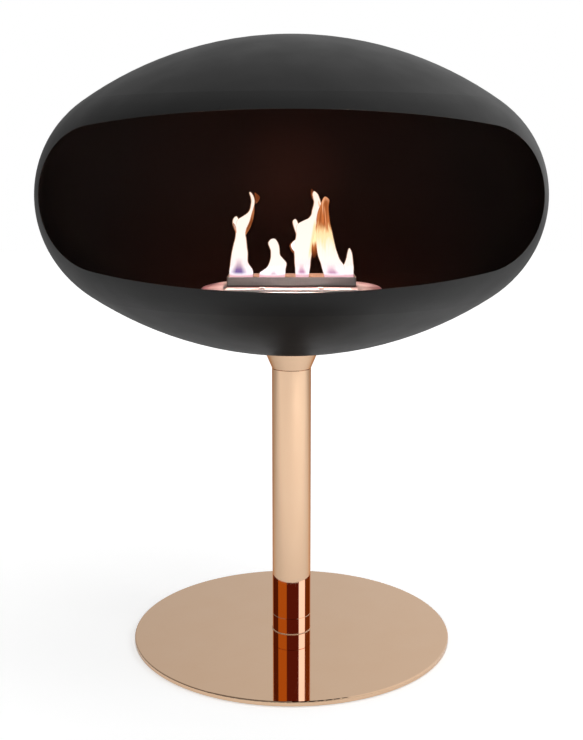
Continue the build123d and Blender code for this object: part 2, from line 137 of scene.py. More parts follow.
# Where heat and painted firelight have marked the burner and the firebox, in millimetres. Of a pair of
# distances, the mark is whole at the first and gone at the second.
# Coat inside, browned by heat and warmed by painted firelight near the fire, in painted shade beyond
BROWNING_AND_FIRELIGHT_CENTRE = (0, 120, 500)
BROWNING_AND_FIRELIGHT_REACH = (120.0, 260.0)
# Painted glow of the flames' light on the back wall
FIRE_GLOW_CENTRE = (0, 262, 574)         # the back wall behind the flames' tips
FIRE_GLOW_REACH = (5.0, 90.0)
FIRE_GLOW_SHARE = 0.9
# Where the flange's painted firelight goes from rosy to pale
FLANGE_FIRELIGHT_FADE = (26.0, 46.0)           # out from the neck's middle
# Heat plate darker towards its rim: heat tint and painted falloff of firelight
RIM_SHADE_FADE = (106.0, 78.0)              # from the heat plate's axis
RIM_WANDER = 9.0
STRAW_FADE = 0.3                      # past the neck's inner face

# Tones of the soot between the colours that a user sets
BLUSH = linear("FFF6FC")
WHITE = linear("FFFFFC")
STRAW = linear("E8B47A")
MAUVE = linear("CDB4C4")
RUST = linear("C66E3A")
APRICOT = linear("E89868")
TAN = linear("B06C42")
PINK_FOOT = (0.4, 2.8)                # millimetres over the neck's rim between which the pink ends
STREAK_STRETCH = 12                   # a streak's length to its width
PATCH_HEART = 0.3                     # share of a soft patch's half width that is whole
CORE_TOP = 90.0                       # height at which a core gives CORE_TOP_SHARE of its full light
CORE_TOP_SHARE = 0.7


class FireplaceFinishes(bpy.types.PropertyGroup):
    """Colours of the fireplace's finishes."""

    copper: FloatVectorProperty(
        name="Copper", description="Mirror-polished copper of the mast and base",
        subtype="COLOR", size=4, min=0, max=1, default=linear("F7D2B1"))
    copper_haze: FloatVectorProperty(
        name="Copper haze", description="Slightly deeper copper between the polishing marks",
        subtype="COLOR", size=4, min=0, max=1, default=linear("F4CCA8"))
    coat: FloatVectorProperty(
        name="Firebox coat", description="Satin heat-resistant powder coat",
        subtype="COLOR", size=4, min=0, max=1, default=linear("1B1B1B"))
    coat_speck: FloatVectorProperty(
        name="Coat speck", description="Darker grains in the powder coat",
        subtype="COLOR", size=4, min=0, max=1, default=linear("161616"))
    # Heat browning and painted warm firelight on the coat inside the firebox
    browned_firelit_coat: FloatVectorProperty(
        name="Browned coat", description="The coat where the fire has heated it",
        subtype="COLOR", size=4, min=0, max=1, default=linear("21120D"))
    steel: FloatVectorProperty(
        name="Stainless steel", description="Brushed and polished stainless steel of the burner",
        subtype="COLOR", size=4, min=0, max=1, default=linear("B2C4C8"))
    # Darker rosy bronze at the heat plate's rim: heat tint and painted falloff of firelight
    rim_tint_and_shade: FloatVectorProperty(
        name="Heat tint", description="Rosy bronze temper colour at the heat plate's rim",
        subtype="COLOR", size=4, min=0, max=1, default=linear("7E5A5E"))
    straw_tint: FloatVectorProperty(
        name="Straw tint", description="Straw temper colour inside the neck",
        subtype="COLOR", size=4, min=0, max=1, default=linear("AF9C84"))
    zinc: FloatVectorProperty(
        name="Zinc plating", description="Bright zinc on the hidden screws, nuts and rod",
        subtype="COLOR", size=4, min=0, max=1, default=linear("C5C8CC"))
    felt: FloatVectorProperty(
        name="Felt", description="Pressed wool felt under the base",
        subtype="COLOR", size=4, min=0, max=1, default=linear("2A2A2D"))
    fibre: FloatVectorProperty(
        name="Ceramic fibre", description="Absorber and gasket",
        subtype="COLOR", size=4, min=0, max=1, default=linear("E4E2DC"))
    graphite: FloatVectorProperty(
        name="Graphite", description="Pressed graphite washer under the firebox",
        subtype="COLOR", size=4, min=0, max=1, default=linear("2C2D2F"))


class FireplaceFlames(bpy.types.PropertyGroup):
    """Colours and brightness of the fire."""

    brightness: FloatProperty(
        name="Brightness", description="Strength of what shows of the flames", min=0, default=1.2)
    core_strength: FloatProperty(
        name="Core strength", description="Strength of the white-hot cores, which light the firebox",
        min=0, default=118.0)
    hot: FloatVectorProperty(
        name="White-hot", description="Warm light that white-hot soot throws on the steel round it",
        subtype="COLOR", size=4, min=0, max=1, default=linear("FFD0C2"))
    cream: FloatVectorProperty(
        name="Cream", description="Bright soot of the flames' skin",
        subtype="COLOR", size=4, min=0, max=1, default=linear("FFFBF2"))
    yellow: FloatVectorProperty(
        name="Yellow", description="Soot as it starts to cool",
        subtype="COLOR", size=4, min=0, max=1, default=linear("FFE9B0"))
    orange: FloatVectorProperty(
        name="Orange", description="Cooling soot",
        subtype="COLOR", size=4, min=0, max=1, default=linear("BC6C3C"))
    umber: FloatVectorProperty(
        name="Umber", description="Dull streaks of cooler soot",
        subtype="COLOR", size=4, min=0, max=1, default=linear("82401C"))
    brown: FloatVectorProperty(
        name="Brown", description="Last glow before the soot goes dark",
        subtype="COLOR", size=4, min=0, max=1, default=linear("6B3319"))
    peach: FloatVectorProperty(
        name="Peach", description="Bright rims of thin soot",
        subtype="COLOR", size=4, min=0, max=1, default=linear("F0B48A"))
    violet: FloatVectorProperty(
        name="Violet", description="Burning vapour just over the slot",
        subtype="COLOR", size=4, min=0, max=1, default=linear("685398"))
    lilac: FloatVectorProperty(
        name="Lilac", description="Thinner burning vapour",
        subtype="COLOR", size=4, min=0, max=1, default=linear("BE86AC"))
    pink: FloatVectorProperty(
        name="Pink", description="Foot of each flame, where the vapour meets the steel",
        subtype="COLOR", size=4, min=0, max=1, default=linear("DDAEB8"))


class FireplaceStudio(bpy.types.PropertyGroup):
    """Camera and light."""

    distance: FloatProperty(
        name="Camera distance", description="From the mast's axis to the lens",
        subtype="DISTANCE", unit="LENGTH", min=0.1, default=1.3285)
    height: FloatProperty(
        name="Camera height", description="Lens above the floor",
        subtype="DISTANCE", unit="LENGTH", min=0, default=0.5968)
    pitch: FloatProperty(
        name="Camera pitch", description="How far the camera looks down",
        subtype="ANGLE", unit="ROTATION", default=0.189)
    lens: FloatProperty(
        name="Focal length", description="For a frame 36 mm tall",
        subtype="DISTANCE_CAMERA", unit="CAMERA", min=1, default=53.42)
    shift: FloatProperty(
        name="Lens shift", description="Moves the picture up on the object, as a share of its height",
        default=0.0016)
    top_power: FloatProperty(
        name="Top power", description="Soft light from over and behind the fireplace",
        subtype="POWER", unit="POWER", min=0, default=7)
    front_power: FloatProperty(
        name="Front power", description="Weak soft light into the opening",
        subtype="POWER", unit="POWER", min=0, default=3.0)
    right_power: FloatProperty(
        name="Right power", description="Soft light on the right",
        subtype="POWER", unit="POWER", min=0, default=17)
    left_power: FloatProperty(
        name="Left power", description="Dim soft light on the left",
        subtype="POWER", unit="POWER", min=0, default=3.5)
    surround: FloatProperty(
        name="Surround", description="Even light from all round", min=0, default=0.4)


def finishes():
    return bpy.context.scene.fireplace_finishes


def flames():
    return bpy.context.scene.fireplace_flames


def studio():
    return bpy.context.scene.fireplace_studio


def new_material(name):
    """A material without nodes, and its node tree."""
    material = bpy.data.materials.new(name)
    material.use_nodes = True
    material.node_tree.nodes.clear()
    return material, material.node_tree


def surfaced(material, inputs):
    """Ends a material with its surface."""
    shader = add(material.node_tree, "BsdfPrincipled", inputs)
    add(material.node_tree, "OutputMaterial", {"Surface": shader})
    return material


def glowing(material, colour, strength, alpha=1.0):
    """Ends a material with a surface that only glows."""
    return surfaced(material, {
        "Base Color": (0, 0, 0, 1), "Roughness": 1.0, "Specular IOR Level": 0.0,
        "Emission Color": colour, "Emission Strength": strength, "Alpha": alpha})


def object_mm(tree, size=1.0):
    """Position on the object in millimetres, divided by a size or by one size for each axis."""
    place = add(tree, "TexCoord").outputs["Object"]
    sizes = size if isinstance(size, tuple) else (size,) * 3
    return add(tree, "VectorMath", {0: place, 1: [1 / MM / part for part in sizes]}, operation="MULTIPLY")


def band(tree, value, middle, whole, gone):
    """Share that is 1 where a value is up to whole away from the middle, and 0 where it is gone away."""
    aside = add(tree, "Math", {0: value, 1: middle}, operation="SUBTRACT")
    aside = add(tree, "Math", {0: aside}, operation="ABSOLUTE")
    return add(tree, "MapRange", {0: aside, 1: whole, 2: gone, 3: 1.0, 4: 0.0})


def around(tree, centre, reach, share=1.0):
    """Share round a point on the object, down to 0 over the reach of (whole, gone) millimetres."""
    away = add(tree, "VectorMath", {0: object_mm(tree), 1: centre}, operation="DISTANCE")
    return add(tree, "MapRange", {0: away, 1: reach[0], 2: reach[1], 3: share, 4: 0.0})


def polished_copper(name, edge=(1, 1, 1, 1), metallic=1.0):
    """Copper plate, mirror-polished: crisp reflections, warmer where they bounce twice; edge is the tint
    that it takes towards a turned-away edge, and a lower metallic share gives lacquer pooled over it."""
    material, tree = new_material(name)
    cloud = add(tree, "TexNoise", {"Vector": object_mm(tree, POLISH_CLOUD), "Scale": 1.0, "Detail": 4.0})
    hairline = add(tree, "TexNoise", {
        "Vector": object_mm(tree, (BRUSH_PITCH, BRUSH_PITCH, BRUSH_LENGTH)), "Scale": 1.0, "Detail": 2.0})
    colour = add(tree, "Mix", {0: cloud, 6: finishes().copper, 7: finishes().copper_haze}, data_type="RGBA")
    return surfaced(material, {
        "Base Color": colour, "Metallic": metallic, "Specular Tint": edge,
        "Roughness": add(tree, "MapRange", {0: cloud, **NOISE, 3: 0.02, 4: 0.05}),
        "Normal": add(tree, "Bump", {"Height": hairline, "Distance": HAIRLINE_DEPTH * MM, "Strength": 1.0})})


def satin_powder_coat():
    """Steel under a satin, heat-resistant powder coat: a broad soft sheen over fine orange peel. Inside, it
    is browned by heat and painted firelight near the fire and darker in painted shade away from it, with a
    painted glow of the flames on the back wall."""
    material, tree = new_material("satin black powder coat")
    peel = add(tree, "TexNoise", {"Vector": object_mm(tree, PEEL_SIZE), "Scale": 1.0, "Detail": 2.0})
    cloud = add(tree, "TexNoise", {"Vector": object_mm(tree, POLISH_CLOUD), "Scale": 1.0, "Detail": 3.0})
    outward = add(tree, "VectorMath", {0: object_mm(tree), 1: (0, 0, SHELL_MIDDLE)}, operation="SUBTRACT")
    facing = add(tree, "TexCoord").outputs["Normal"]
    away = add(tree, "VectorMath", {0: outward, 1: facing}, operation="DOT_PRODUCT")
    inside = add(tree, "MapRange", {0: away, 1: -1.0, 2: 1.0, 3: 1.0, 4: 0.0})
    outer = add(tree, "Mix", {0: peel, 6: finishes().coat, 7: finishes().coat_speck}, data_type="RGBA")
    # Heat browning and painted firelight near the fire, painted shade away from it
    browning_and_firelight = around(tree, BROWNING_AND_FIRELIGHT_CENTRE, BROWNING_AND_FIRELIGHT_REACH)
    # Painted glow of the flames on the back wall
    fire_glow = around(tree, FIRE_GLOW_CENTRE, FIRE_GLOW_REACH, FIRE_GLOW_SHARE)
    firelit_brown = add(tree, "Mix", {0: cloud, 6: finishes().browned_firelit_coat, 7: SOOTED_COAT}, data_type="RGBA")
    firelit_brown = add(tree, "Mix", {0: fire_glow, 6: firelit_brown, 7: FIRE_GLOW_COAT}, data_type="RGBA")
    inner = add(tree, "Mix", {0: browning_and_firelight, 6: COAT_IN_PAINTED_SHADE, 7: firelit_brown}, data_type="RGBA")
    gleam = add(tree, "Mix", {0: browning_and_firelight, 6: GREY_GLEAM, 7: BROWNED_FIRELIT_GLEAM}, data_type="RGBA")
    satin = add(tree, "MapRange", {0: cloud, **NOISE, 3: 0.40, 4: 0.46})
    return surfaced(material, {
        "Base Color": add(tree, "Mix", {0: inside, 6: outer, 7: inner}, data_type="RGBA"),
        "Specular IOR Level": 0.25,
        "Specular Tint": add(tree, "Mix", {0: inside, 6: (1, 1, 1, 1), 7: gleam}, data_type="RGBA"),
        "Roughness": add(tree, "Mix", {0: inside, 2: satin, 3: 0.72}),
        "Normal": add(tree, "Bump", {"Height": peel, "Distance": PEEL_DEPTH * MM, "Strength": 1.0})})


def brushed_stainless():
    """Stainless sheet, satin brushed along X: streaked soft reflections, straw-coloured inside the neck, with
    a dark band round the neck's foot, weld scale and painted contact shadow, and a matt flange, rosy by the
    neck and paler outward in painted firelight."""
    material, tree = new_material("brushed stainless steel")
    grain = add(tree, "TexNoise", {
        "Vector": object_mm(tree, (BRUSH_LENGTH, BRUSH_PITCH, BRUSH_PITCH)), "Scale": 1.0, "Detail": 4.0})
    parts = add(tree, "SeparateXYZ", {0: object_mm(tree)})
    across = add(tree, "Math", {0: parts.outputs[1]}, operation="ABSOLUTE")
    inside = add(tree, "MapRange", {0: across, 1: NECK_INSIDE, 2: NECK_INSIDE + STRAW_FADE, 3: 1.0, 4: 0.0})
    # Flange rosy by the neck and pale outward: painted firelight
    firelit_paler = add(tree, "MapRange", {0: across, 1: FLANGE_FIRELIGHT_FADE[0], 2: FLANGE_FIRELIGHT_FADE[1]})
    # Weld scale and painted contact shadow round the neck's foot
    weld_and_corner_shade = band(tree, parts.outputs[2], FLANGE_TOP + WELD_SHADE_BAND / 2, 0.4 * WELD_SHADE_BAND, 0.6 * WELD_SHADE_BAND)
    flange = band(tree, parts.outputs[2], FLANGE_MIDDLE, *FLANGE_REACH)
    colour = add(tree, "Mix", {0: grain, 6: finishes().steel, 7: SCRATCHED_STEEL}, data_type="RGBA")
    colour = add(tree, "Mix", {0: inside, 6: colour, 7: finishes().straw_tint}, data_type="RGBA")
    firelit_flange = add(tree, "Mix", {0: firelit_paler, 6: FLANGE_FIRELIT_ROSE, 7: FLANGE_LIT_PALE}, data_type="RGBA")
    colour = add(tree, "Mix", {0: flange, 6: colour, 7: firelit_flange}, data_type="RGBA")
    return surfaced(material, {
        "Base Color": add(tree, "Mix", {0: weld_and_corner_shade, 6: colour, 7: WELD_AND_CORNER_SHADE}, data_type="RGBA"),
        "Metallic": add(tree, "MapRange", {0: flange, 3: 1.0, 4: 0.15}), "Anisotropic": 0.5,
        "Roughness": add(tree, "MapRange", {0: grain, **NOISE, 3: 0.48, 4: 0.62}),
        "Normal": add(tree, "Bump", {"Height": grain, "Distance": BRUSH_DEPTH * MM, "Strength": 1.0})})


def turned_stainless():
    """Stainless plate polished on a lathe: rings of fine marks, painted pale in firelight by the flames and
    darker rosy bronze towards its rim, heat tint and painted falloff of firelight."""
    material, tree = new_material("turned and polished stainless steel")
    parts = add(tree, "SeparateXYZ", {0: object_mm(tree)})
    flat = add(tree, "CombineXYZ", {0: parts.outputs[0], 1: parts.outputs[1]})
    radius = add(tree, "VectorMath", {0: flat}, operation="LENGTH")
    ring = add(tree, "TexNoise", {"W": radius, "Scale": 1 / BRUSH_PITCH, "Detail": 3.0},
               noise_dimensions="1D")
    cloud = add(tree, "TexNoise", {"Vector": object_mm(tree, POLISH_CLOUD), "Scale": 1.0, "Detail": 4.0})
    wander = add(tree, "MapRange", {0: cloud, **NOISE, 3: -RIM_WANDER, 4: RIM_WANDER})
    outward = add(tree, "Math", {0: radius, 1: wander}, operation="ADD")
    # Darker towards the rim: heat tint and painted falloff of firelight
    rim_shade = add(tree, "MapRange", {0: outward, 1: RIM_SHADE_FADE[1], 2: RIM_SHADE_FADE[0]})
    return surfaced(material, {
        "Base Color": add(tree, "Mix", {0: rim_shade, 6: PLATE_FIRELIT, 7: finishes().rim_tint_and_shade}, data_type="RGBA"),
        "Metallic": 0.15, "Roughness": add(tree, "MapRange", {0: ring, **NOISE, 3: 0.42, 4: 0.58}),
        "Normal": add(tree, "Bump", {"Height": ring, "Distance": BRUSH_DEPTH * MM, "Strength": 1.0})})


def bright_zinc():
    """Steel with bright zinc plating: cool, slightly mottled and softly shining."""
    material, tree = new_material("bright zinc plated steel")
    spangle = add(tree, "TexVoronoi", {"Vector": object_mm(tree, ZINC_SPANGLE), "Scale": 1.0})
    return surfaced(material, {
        "Base Color": add(tree, "Mix", {0: spangle, 6: finishes().zinc, 7: ZINC_SHADE}, data_type="RGBA"),
        "Metallic": 1.0, "Roughness": add(tree, "MapRange", {0: spangle, 3: 0.25, 4: 0.4})})


def matted(name, colour, deep, fibre, depth):
    """Matted fibres: a rough, light-scattering surface of short crossing strands."""
    material, tree = new_material(name)
    length = fibre * STRAND_STRETCH
    crossing = [add(tree, "TexNoise", {
        "Vector": object_mm(tree, strand), "Scale": 1.0, "Detail": 3.0, "Distortion": 0.6})
        for strand in ((length, fibre, fibre), (fibre, length, fibre))]
    strands = add(tree, "Math", {0: crossing[0], 1: crossing[1]}, operation="MAXIMUM")
    return surfaced(material, {
        "Base Color": add(tree, "Mix", {0: strands, 6: deep, 7: colour}, data_type="RGBA"),
        "Roughness": 1.0, "Sheen Weight": 0.3,
        "Normal": add(tree, "Bump", {"Height": strands, "Distance": depth * MM, "Strength": 1.0})})


def pressed_graphite():
    """Pressed graphite sheet: dark grey flakes with a faint metallic gloss."""
    material, tree = new_material("pressed graphite sheet")
    flake = add(tree, "TexVoronoi", {"Vector": object_mm(tree, GRAPHITE_FLAKE), "Scale": 1.0})
    return surfaced(material, {
        "Base Color": add(tree, "Mix", {0: flake, 6: finishes().graphite, 7: FLAKE_SHINE}, data_type="RGBA"),
        "Metallic": 0.3, "Roughness": add(tree, "MapRange", {0: flake, 3: 0.45, 4: 0.7})})


def streaky_height(tree, streak=1.8, reach=3.0):
    """Height on the flame in millimetres, plain and pulled up and down by reach in upright streaks."""
    height = add(tree, "SeparateXYZ", {0: object_mm(tree)}).outputs[2]
    streaks = add(tree, "TexNoise", {
        "Vector": object_mm(tree, (streak, streak, streak * STREAK_STRETCH)), "Scale": 1.0, "Detail": 2.0})
    pull = add(tree, "MapRange", {0: streaks, **NOISE, 3: -reach, 4: reach})
    return height, add(tree, "Math", {0: height, 1: pull}, operation="ADD")


def colour_ramp(tree, value, stops):
    """Colour and alpha over a value, from stops of (value, colour, alpha)."""
    low, high = stops[0][0], stops[-1][0]
    ramp = add(tree, "ValToRGB", {0: add(tree, "MapRange", {0: value, 1: low, 2: high})})
    elements = ramp.color_ramp.elements
    while len(elements) < len(stops):
        elements.new(1.0)
    for element, (place, colour, alpha) in zip(elements, stops):
        element.position = (place - low) / (high - low)
        element.color = tuple(colour)[:3] + (alpha,)
    return ramp


def soft_patch(tree, centre, foot, head):
    """Share of a soft patch on a flame, from its foot to its head: each is (x, height, half width, fade)."""
    parts = add(tree, "SeparateXYZ", {0: object_mm(tree)})
    height = parts.outputs[2]
    middle = add(tree, "MapRange", {
        0: height, 1: foot[1], 2: head[1], 3: foot[0] - centre, 4: head[0] - centre})
    half = add(tree, "MapRange", {0: height, 1: foot[1], 2: head[1], 3: foot[2], 4: head[2]})
    aside = add(tree, "Math", {0: parts.outputs[0], 1: middle}, operation="SUBTRACT")
    aside = add(tree, "Math", {0: aside}, operation="ABSOLUTE")
    aside = add(tree, "Math", {0: aside, 1: half}, operation="DIVIDE")
    sideways = add(tree, "MapRange", {0: aside, 1: PATCH_HEART, 3: 1.0, 4: 0.0})
    rise = add(tree, "MapRange", {0: height, 1: foot[1] - foot[3], 2: foot[1] + foot[3]})
    fall = add(tree, "MapRange", {0: height, 1: head[1] - head[3], 2: head[1] + head[3], 3: 1.0, 4: 0.0})
    share = add(tree, "Math", {0: rise, 1: fall}, operation="MULTIPLY")
    return add(tree, "Math", {0: share, 1: sideways}, operation="MULTIPLY")


def burning_soot(name, tones, centre, patches=(), streak=1.8, reach=3.0):
    """Glowing soot in the tones' colours, pink where it meets the steel, with soft patches of burning vapour
    or cooler soot: (colour, foot, head)."""
    material, tree = new_material(name)
    height, pulled = streaky_height(tree, streak, reach)
    foot = add(tree, "MapRange", {0: height, 1: PINK_FOOT[0], 2: PINK_FOOT[1], 3: 1.0, 4: 0.0})
    ramp = colour_ramp(tree, pulled, tones)
    tone = add(tree, "Mix", {0: foot, 6: ramp, 7: flames().pink}, data_type="RGBA")
    for colour, low, high in patches:
        patch = soft_patch(tree, centre, low, high)
        tone = add(tree, "Mix", {0: patch, 6: tone, 7: colour}, data_type="RGBA")
    return glowing(material, tone, flames().brightness)


def thin_soot(name, tones, streak=1.5, reach=8.0):
    """Thin glowing soot: see-through, in upright streaks of the tones' colours and alphas."""
    material, tree = new_material(name)
    ramp = colour_ramp(tree, streaky_height(tree, streak, reach)[1], tones)
    return glowing(material, ramp, flames().brightness, ramp.outputs[1])


def white_hot_soot():
    """White-hot soot deep in a flame: it lights the firebox through the flame's skin, less so higher up."""
    material, tree = new_material("white-hot soot")
    height = streaky_height(tree)[1]
    strength = flames().core_strength
    heat = add(tree, "MapRange", {0: height, 2: CORE_TOP, 3: strength, 4: CORE_TOP_SHARE * strength})
    return glowing(material, flames().hot, heat)


def box_mm(node):
    """Lowest and highest corner of a CAD node's box in millimetres."""
    return [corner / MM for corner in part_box(node)]


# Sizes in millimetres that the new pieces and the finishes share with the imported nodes
NECK_RIM = box_mm("burner_neck")[1].z
NECK_MOUTH = (151.6, 45.6)
MOUTH_CORNER = 0.8
NECK_INSIDE = NECK_MOUTH[1] / 2
FLANGE_CORNER = 3.0
FLANGE_TOP = 449.55
FLANGE_MIDDLE = FLANGE_TOP - 0.5
FLANGE_REACH = (0.7, 0.9)             # up and down from its middle, to where its pallor is whole and gone
# Height of the weld scale and painted contact shadow at the neck's foot
WELD_SHADE_BAND = 1.7
NECK_SCREW_REACH = (69.0 / 2, 96.0 / 2)
NECK_SCREW_HOLE = 4.6
ROD_HOLE = 13.0
COLLAR_SCREW_CIRCLE = 40.0
COLLAR_SCREW_HOLE = 6.6
COLLAR_SCREWS = 3
SHELL_BOTTOM = 368.0
SHELL_CROWN = 423.77
SHELL_MIDDLE = 554.0
GASKET_TOP = 0.05                     # gaps between the graphite gasket's faces and the firebox
GASKET_FOOT = 0.8
ABSORBER_EDGE = 1.0
ABSORBER_RINGS = 28
LACQUER_BEAD = 0.6

# How finely the new pieces are cut
LATHE_SIDES = 180
FUZZ_LUMP = 4.0                       # millimetres across the lumps in turned felt and fibre
SHEET_LUMP = 3.0                      # and in cut sheet
CORNER_STEPS = 6
SIDE_STEP = 4.0
TONGUE_SIDES = 28
TONGUE_STEPS = 5                      # rings between two stations of a flame
RAGGED = 0.06                         # share by which a flame's skin wanders in and out
LICKS_UP = 0.09                       # how often it does so in a millimetre of height
LICKS_ROUND = 1.3                     # across the flame's half width
LICK_DRIFT = 0.13                     # in a millimetre that the flame leans sideways
THINNEST = 0.2                        # millimetres


def level(height):
    """Height by radius of a flat face."""
    return lambda radius: height


def under_shell(gap):
    """Height by radius of a dish that lies a gap under the firebox's bottom."""
    return lambda radius: SHELL_BOTTOM + SHELL_CROWN - math.sqrt((SHELL_CROWN + gap) ** 2 - radius ** 2)


def dress(material, *names):
    """Gives CAD nodes one finish."""
    for name in names:
        slots = NODES[name].data.materials
        slots.clear()
        slots.append(material)


def placed(name, builder, material, body, origin=(0, 0, 0), crease=40):
    """Object from a bmesh in millimetres, smooth up to the crease angle, that rides on a body."""
    bmesh.ops.recalc_face_normals(builder, faces=builder.faces)
    bmesh.ops.scale(builder, verts=builder.verts, vec=(MM, MM, MM))
    mesh = bpy.data.meshes.new(name)
    builder.to_mesh(mesh)
    builder.free()
    mesh.shade_smooth()
    mesh.set_sharp_from_angle(angle=math.radians(crease))
    mesh.materials.append(material)
    piece = bpy.data.objects.new(name, mesh)
    piece.location = Vector(origin) * MM
    bpy.context.scene.collection.objects.link(piece)
    bpy.context.view_layer.update()
    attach(piece, body)
    return piece


def lathe(name, outline, material, body, fuzz=0.0):
    """Solid turned about the mast's axis from an outline of (radius, height) points that starts and ends on
    the axis or closes on itself. Fuzz draws its skin in by up to that much, in lumps."""
    builder = bmesh.new()
    points = [builder.verts.new((radius, 0, height)) for radius, height in outline]
    for here, after in zip(points, points[1:]):
        builder.edges.new((here, after))
    bmesh.ops.spin(builder, geom=builder.verts[:] + builder.edges[:], cent=(0, 0, 0), axis=(0, 0, 1),
                   angle=2 * math.pi, steps=LATHE_SIDES, use_merge=True)
    bmesh.ops.remove_doubles(builder, verts=builder.verts, dist=0.001)
    heights = [point[1] for point in outline]
    low, high = min(heights), max(heights)
    for point in builder.verts:
        give = fuzz * (0.5 + 0.5 * noise.noise(point.co / FUZZ_LUMP))
        radius = math.hypot(point.co.x, point.co.y)
        if radius > give:
            point.co.x *= (radius - give) / radius
            point.co.y *= (radius - give) / radius
        point.co.z += give * (1 - 2 * (point.co.z - low) / (high - low)) * 0.5
    return placed(name, builder, material, body)


def cut_sheet(name, loops, low, high, material, body, cuts=0, fuzz=0.0):
    """Sheet cut to the first loop, with the others as holes; low and high give the heights of its faces by
    radius."""
    builder = bmesh.new()
    for loop in loops:
        points = [builder.verts.new((x, y, 0)) for x, y in loop]
        for here, after in zip(points, points[1:] + points[:1]):
            builder.edges.new((here, after))
    bmesh.ops.triangle_fill(builder, edges=builder.edges[:], use_beauty=True)
    if cuts:
        bmesh.ops.subdivide_edges(builder, edges=builder.edges[:], cuts=cuts, use_grid_fill=True)
    for point in builder.verts:
        give = fuzz * (0.5 + 0.5 * noise.noise(point.co / SHEET_LUMP))
        if point.co.length > give:
            point.co -= point.co.normalized() * give
    raised = bmesh.ops.extrude_face_region(builder, geom=builder.faces[:])["geom"]
    raised = {part for part in raised if isinstance(part, bmesh.types.BMVert)}
    for point in builder.verts:
        radius = math.hypot(point.co.x, point.co.y)
        point.co.z = (high if point in raised else low)(radius)
    return placed(name, builder, material, body)


def circle(radius, centre=(0, 0), sides=32):
    """Points round a circle."""
    turns = [2 * math.pi * i / sides for i in range(sides)]
    return [(centre[0] + radius * math.cos(a), centre[1] + radius * math.sin(a)) for a in turns]


def round_rectangle(width, depth, corner):
    """Points round a rectangle with rounded corners, with some along its sides."""
    points = []
    for quarter, (sx, sy) in enumerate(((1, 1), (-1, 1), (-1, -1), (1, -1))):
        x, y = sx * (width / 2 - corner), sy * (depth / 2 - corner)
        for step in range(CORNER_STEPS + 1):
            angle = math.pi / 2 * (quarter + step / CORNER_STEPS)
            points.append((x + corner * math.cos(angle), y + corner * math.sin(angle)))
    spaced = []
    for (x, y), after in zip(points, points[1:] + points[:1]):
        pieces = max(1, round(math.dist((x, y), after) / SIDE_STEP))
        spaced += [(x + (after[0] - x) * i / pieces, y + (after[1] - y) * i / pieces) for i in range(pieces)]
    return spaced


def smooth_through(stations):
    """Stations of a smooth tongue through the given ones."""
    ends = [stations[0]] + list(stations) + [stations[-1]]
    line = []
    for a, b, c, d in zip(ends, ends[1:], ends[2:], ends[3:]):
        for step in range(TONGUE_STEPS):
            t = step / TONGUE_STEPS
            line.append(tuple(
                0.5 * (2 * q + (r - p) * t + (2 * p - 5 * q + 4 * r - s) * t * t
                       + (3 * q - p - 3 * r + s) * t ** 3)
                for p, q, r, s in zip(a, b, c, d)))
    line.append(tuple(stations[-1]))
    return line


def within(stations, low, high):
    """The stations of a tongue between two heights."""
    return [station for station in stations if low <= station[0] <= high]


def tongue(name, stations, material, centre, lean, swell, thickness):
    """One tongue of flame through its stations. Lean moves the tip back, swell grows the whole skin, and
    thickness is the half depth as a share of the half width."""
    top = stations[-1][0]
    builder = bmesh.new()
    rings = []
    for height, x, half in smooth_through(stations):
        half = max(half + swell, THINNEST)
        back = lean * max(0.0, height / top) ** 2
        ring = []
        for side in range(TONGUE_SIDES):
            angle = 2 * math.pi * side / TONGUE_SIDES
            across, deep = math.cos(angle), math.sin(angle)
            lick = Vector((x * LICK_DRIFT + across * LICKS_ROUND, deep * LICKS_ROUND + centre,
                           height * LICKS_UP))
            grown = half * (1 + RAGGED * noise.noise(lick))
            place = (x - centre + grown * across, back + grown * thickness * deep, height)
            ring.append(builder.verts.new(place))
        rings.append(ring)
    for low, high in zip(rings, rings[1:]):
        for side in range(TONGUE_SIDES):
            after = (side + 1) % TONGUE_SIDES
            builder.faces.new((low[side], low[after], high[after], high[side]))
    builder.faces.new(rings[0])
    builder.faces.new(rings[-1])
    piece = placed(name, builder, material, "burner", origin=(centre, 0, NECK_RIM), crease=180)
    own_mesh(piece)
    return piece


# Stations of each tongue, left to right: (height over the neck's rim, x, half width) in millimetres
FIRST_FLAME = [
    (-10, -61.2, 13.8), (5, -61.2, 14), (15, -63.1, 10.8), (27, -62.6, 9.2), (36, -62, 7.8), (44, -61.3, 6.2),
    (50, -61.1, 5.5), (56, -60.6, 6), (62, -59.2, 7.2), (67, -57, 7), (71.5, -52.8, 4), (75, -49.9, 2.1),
    (79, -48, 1.5), (84, -46.7, 1.7), (89, -46.2, 1.7), (94, -47.2, 1.5), (97.5, -48.8, 1.1),
    (99.5, -49.8, 0.3)]
FIRST_HORN = [
    (48, -61.5, 3), (54, -64, 3.4), (60, -66.2, 3.8), (65, -66.9, 3.4), (68.5, -66.9, 2.2),
    (70.6, -66.6, 0.3)]
FIRST_EDGE = [
    (49, -54.8, 0.4), (51.5, -54.4, 1.3), (55, -52.8, 2), (60, -50.6, 2), (66, -48.4, 2), (72.5, -46.7, 1.6),
    (78, -45.6, 1.1), (84, -44.8, 0.3)]
FIRST_WISP = [
    (86, -42.6, 0.3), (88.5, -41.6, 1.8), (92.3, -40.6, 2.6), (95.4, -41.4, 2.4), (97.6, -43, 1.2),
    (98.8, -43.8, 0.3)]
FIRST_CHEEK = [(49, -65.2, 0.3), (52, -66, 1.4), (56, -67.4, 1.7), (60, -68.8, 1.4), (63, -69.6, 0.3)]
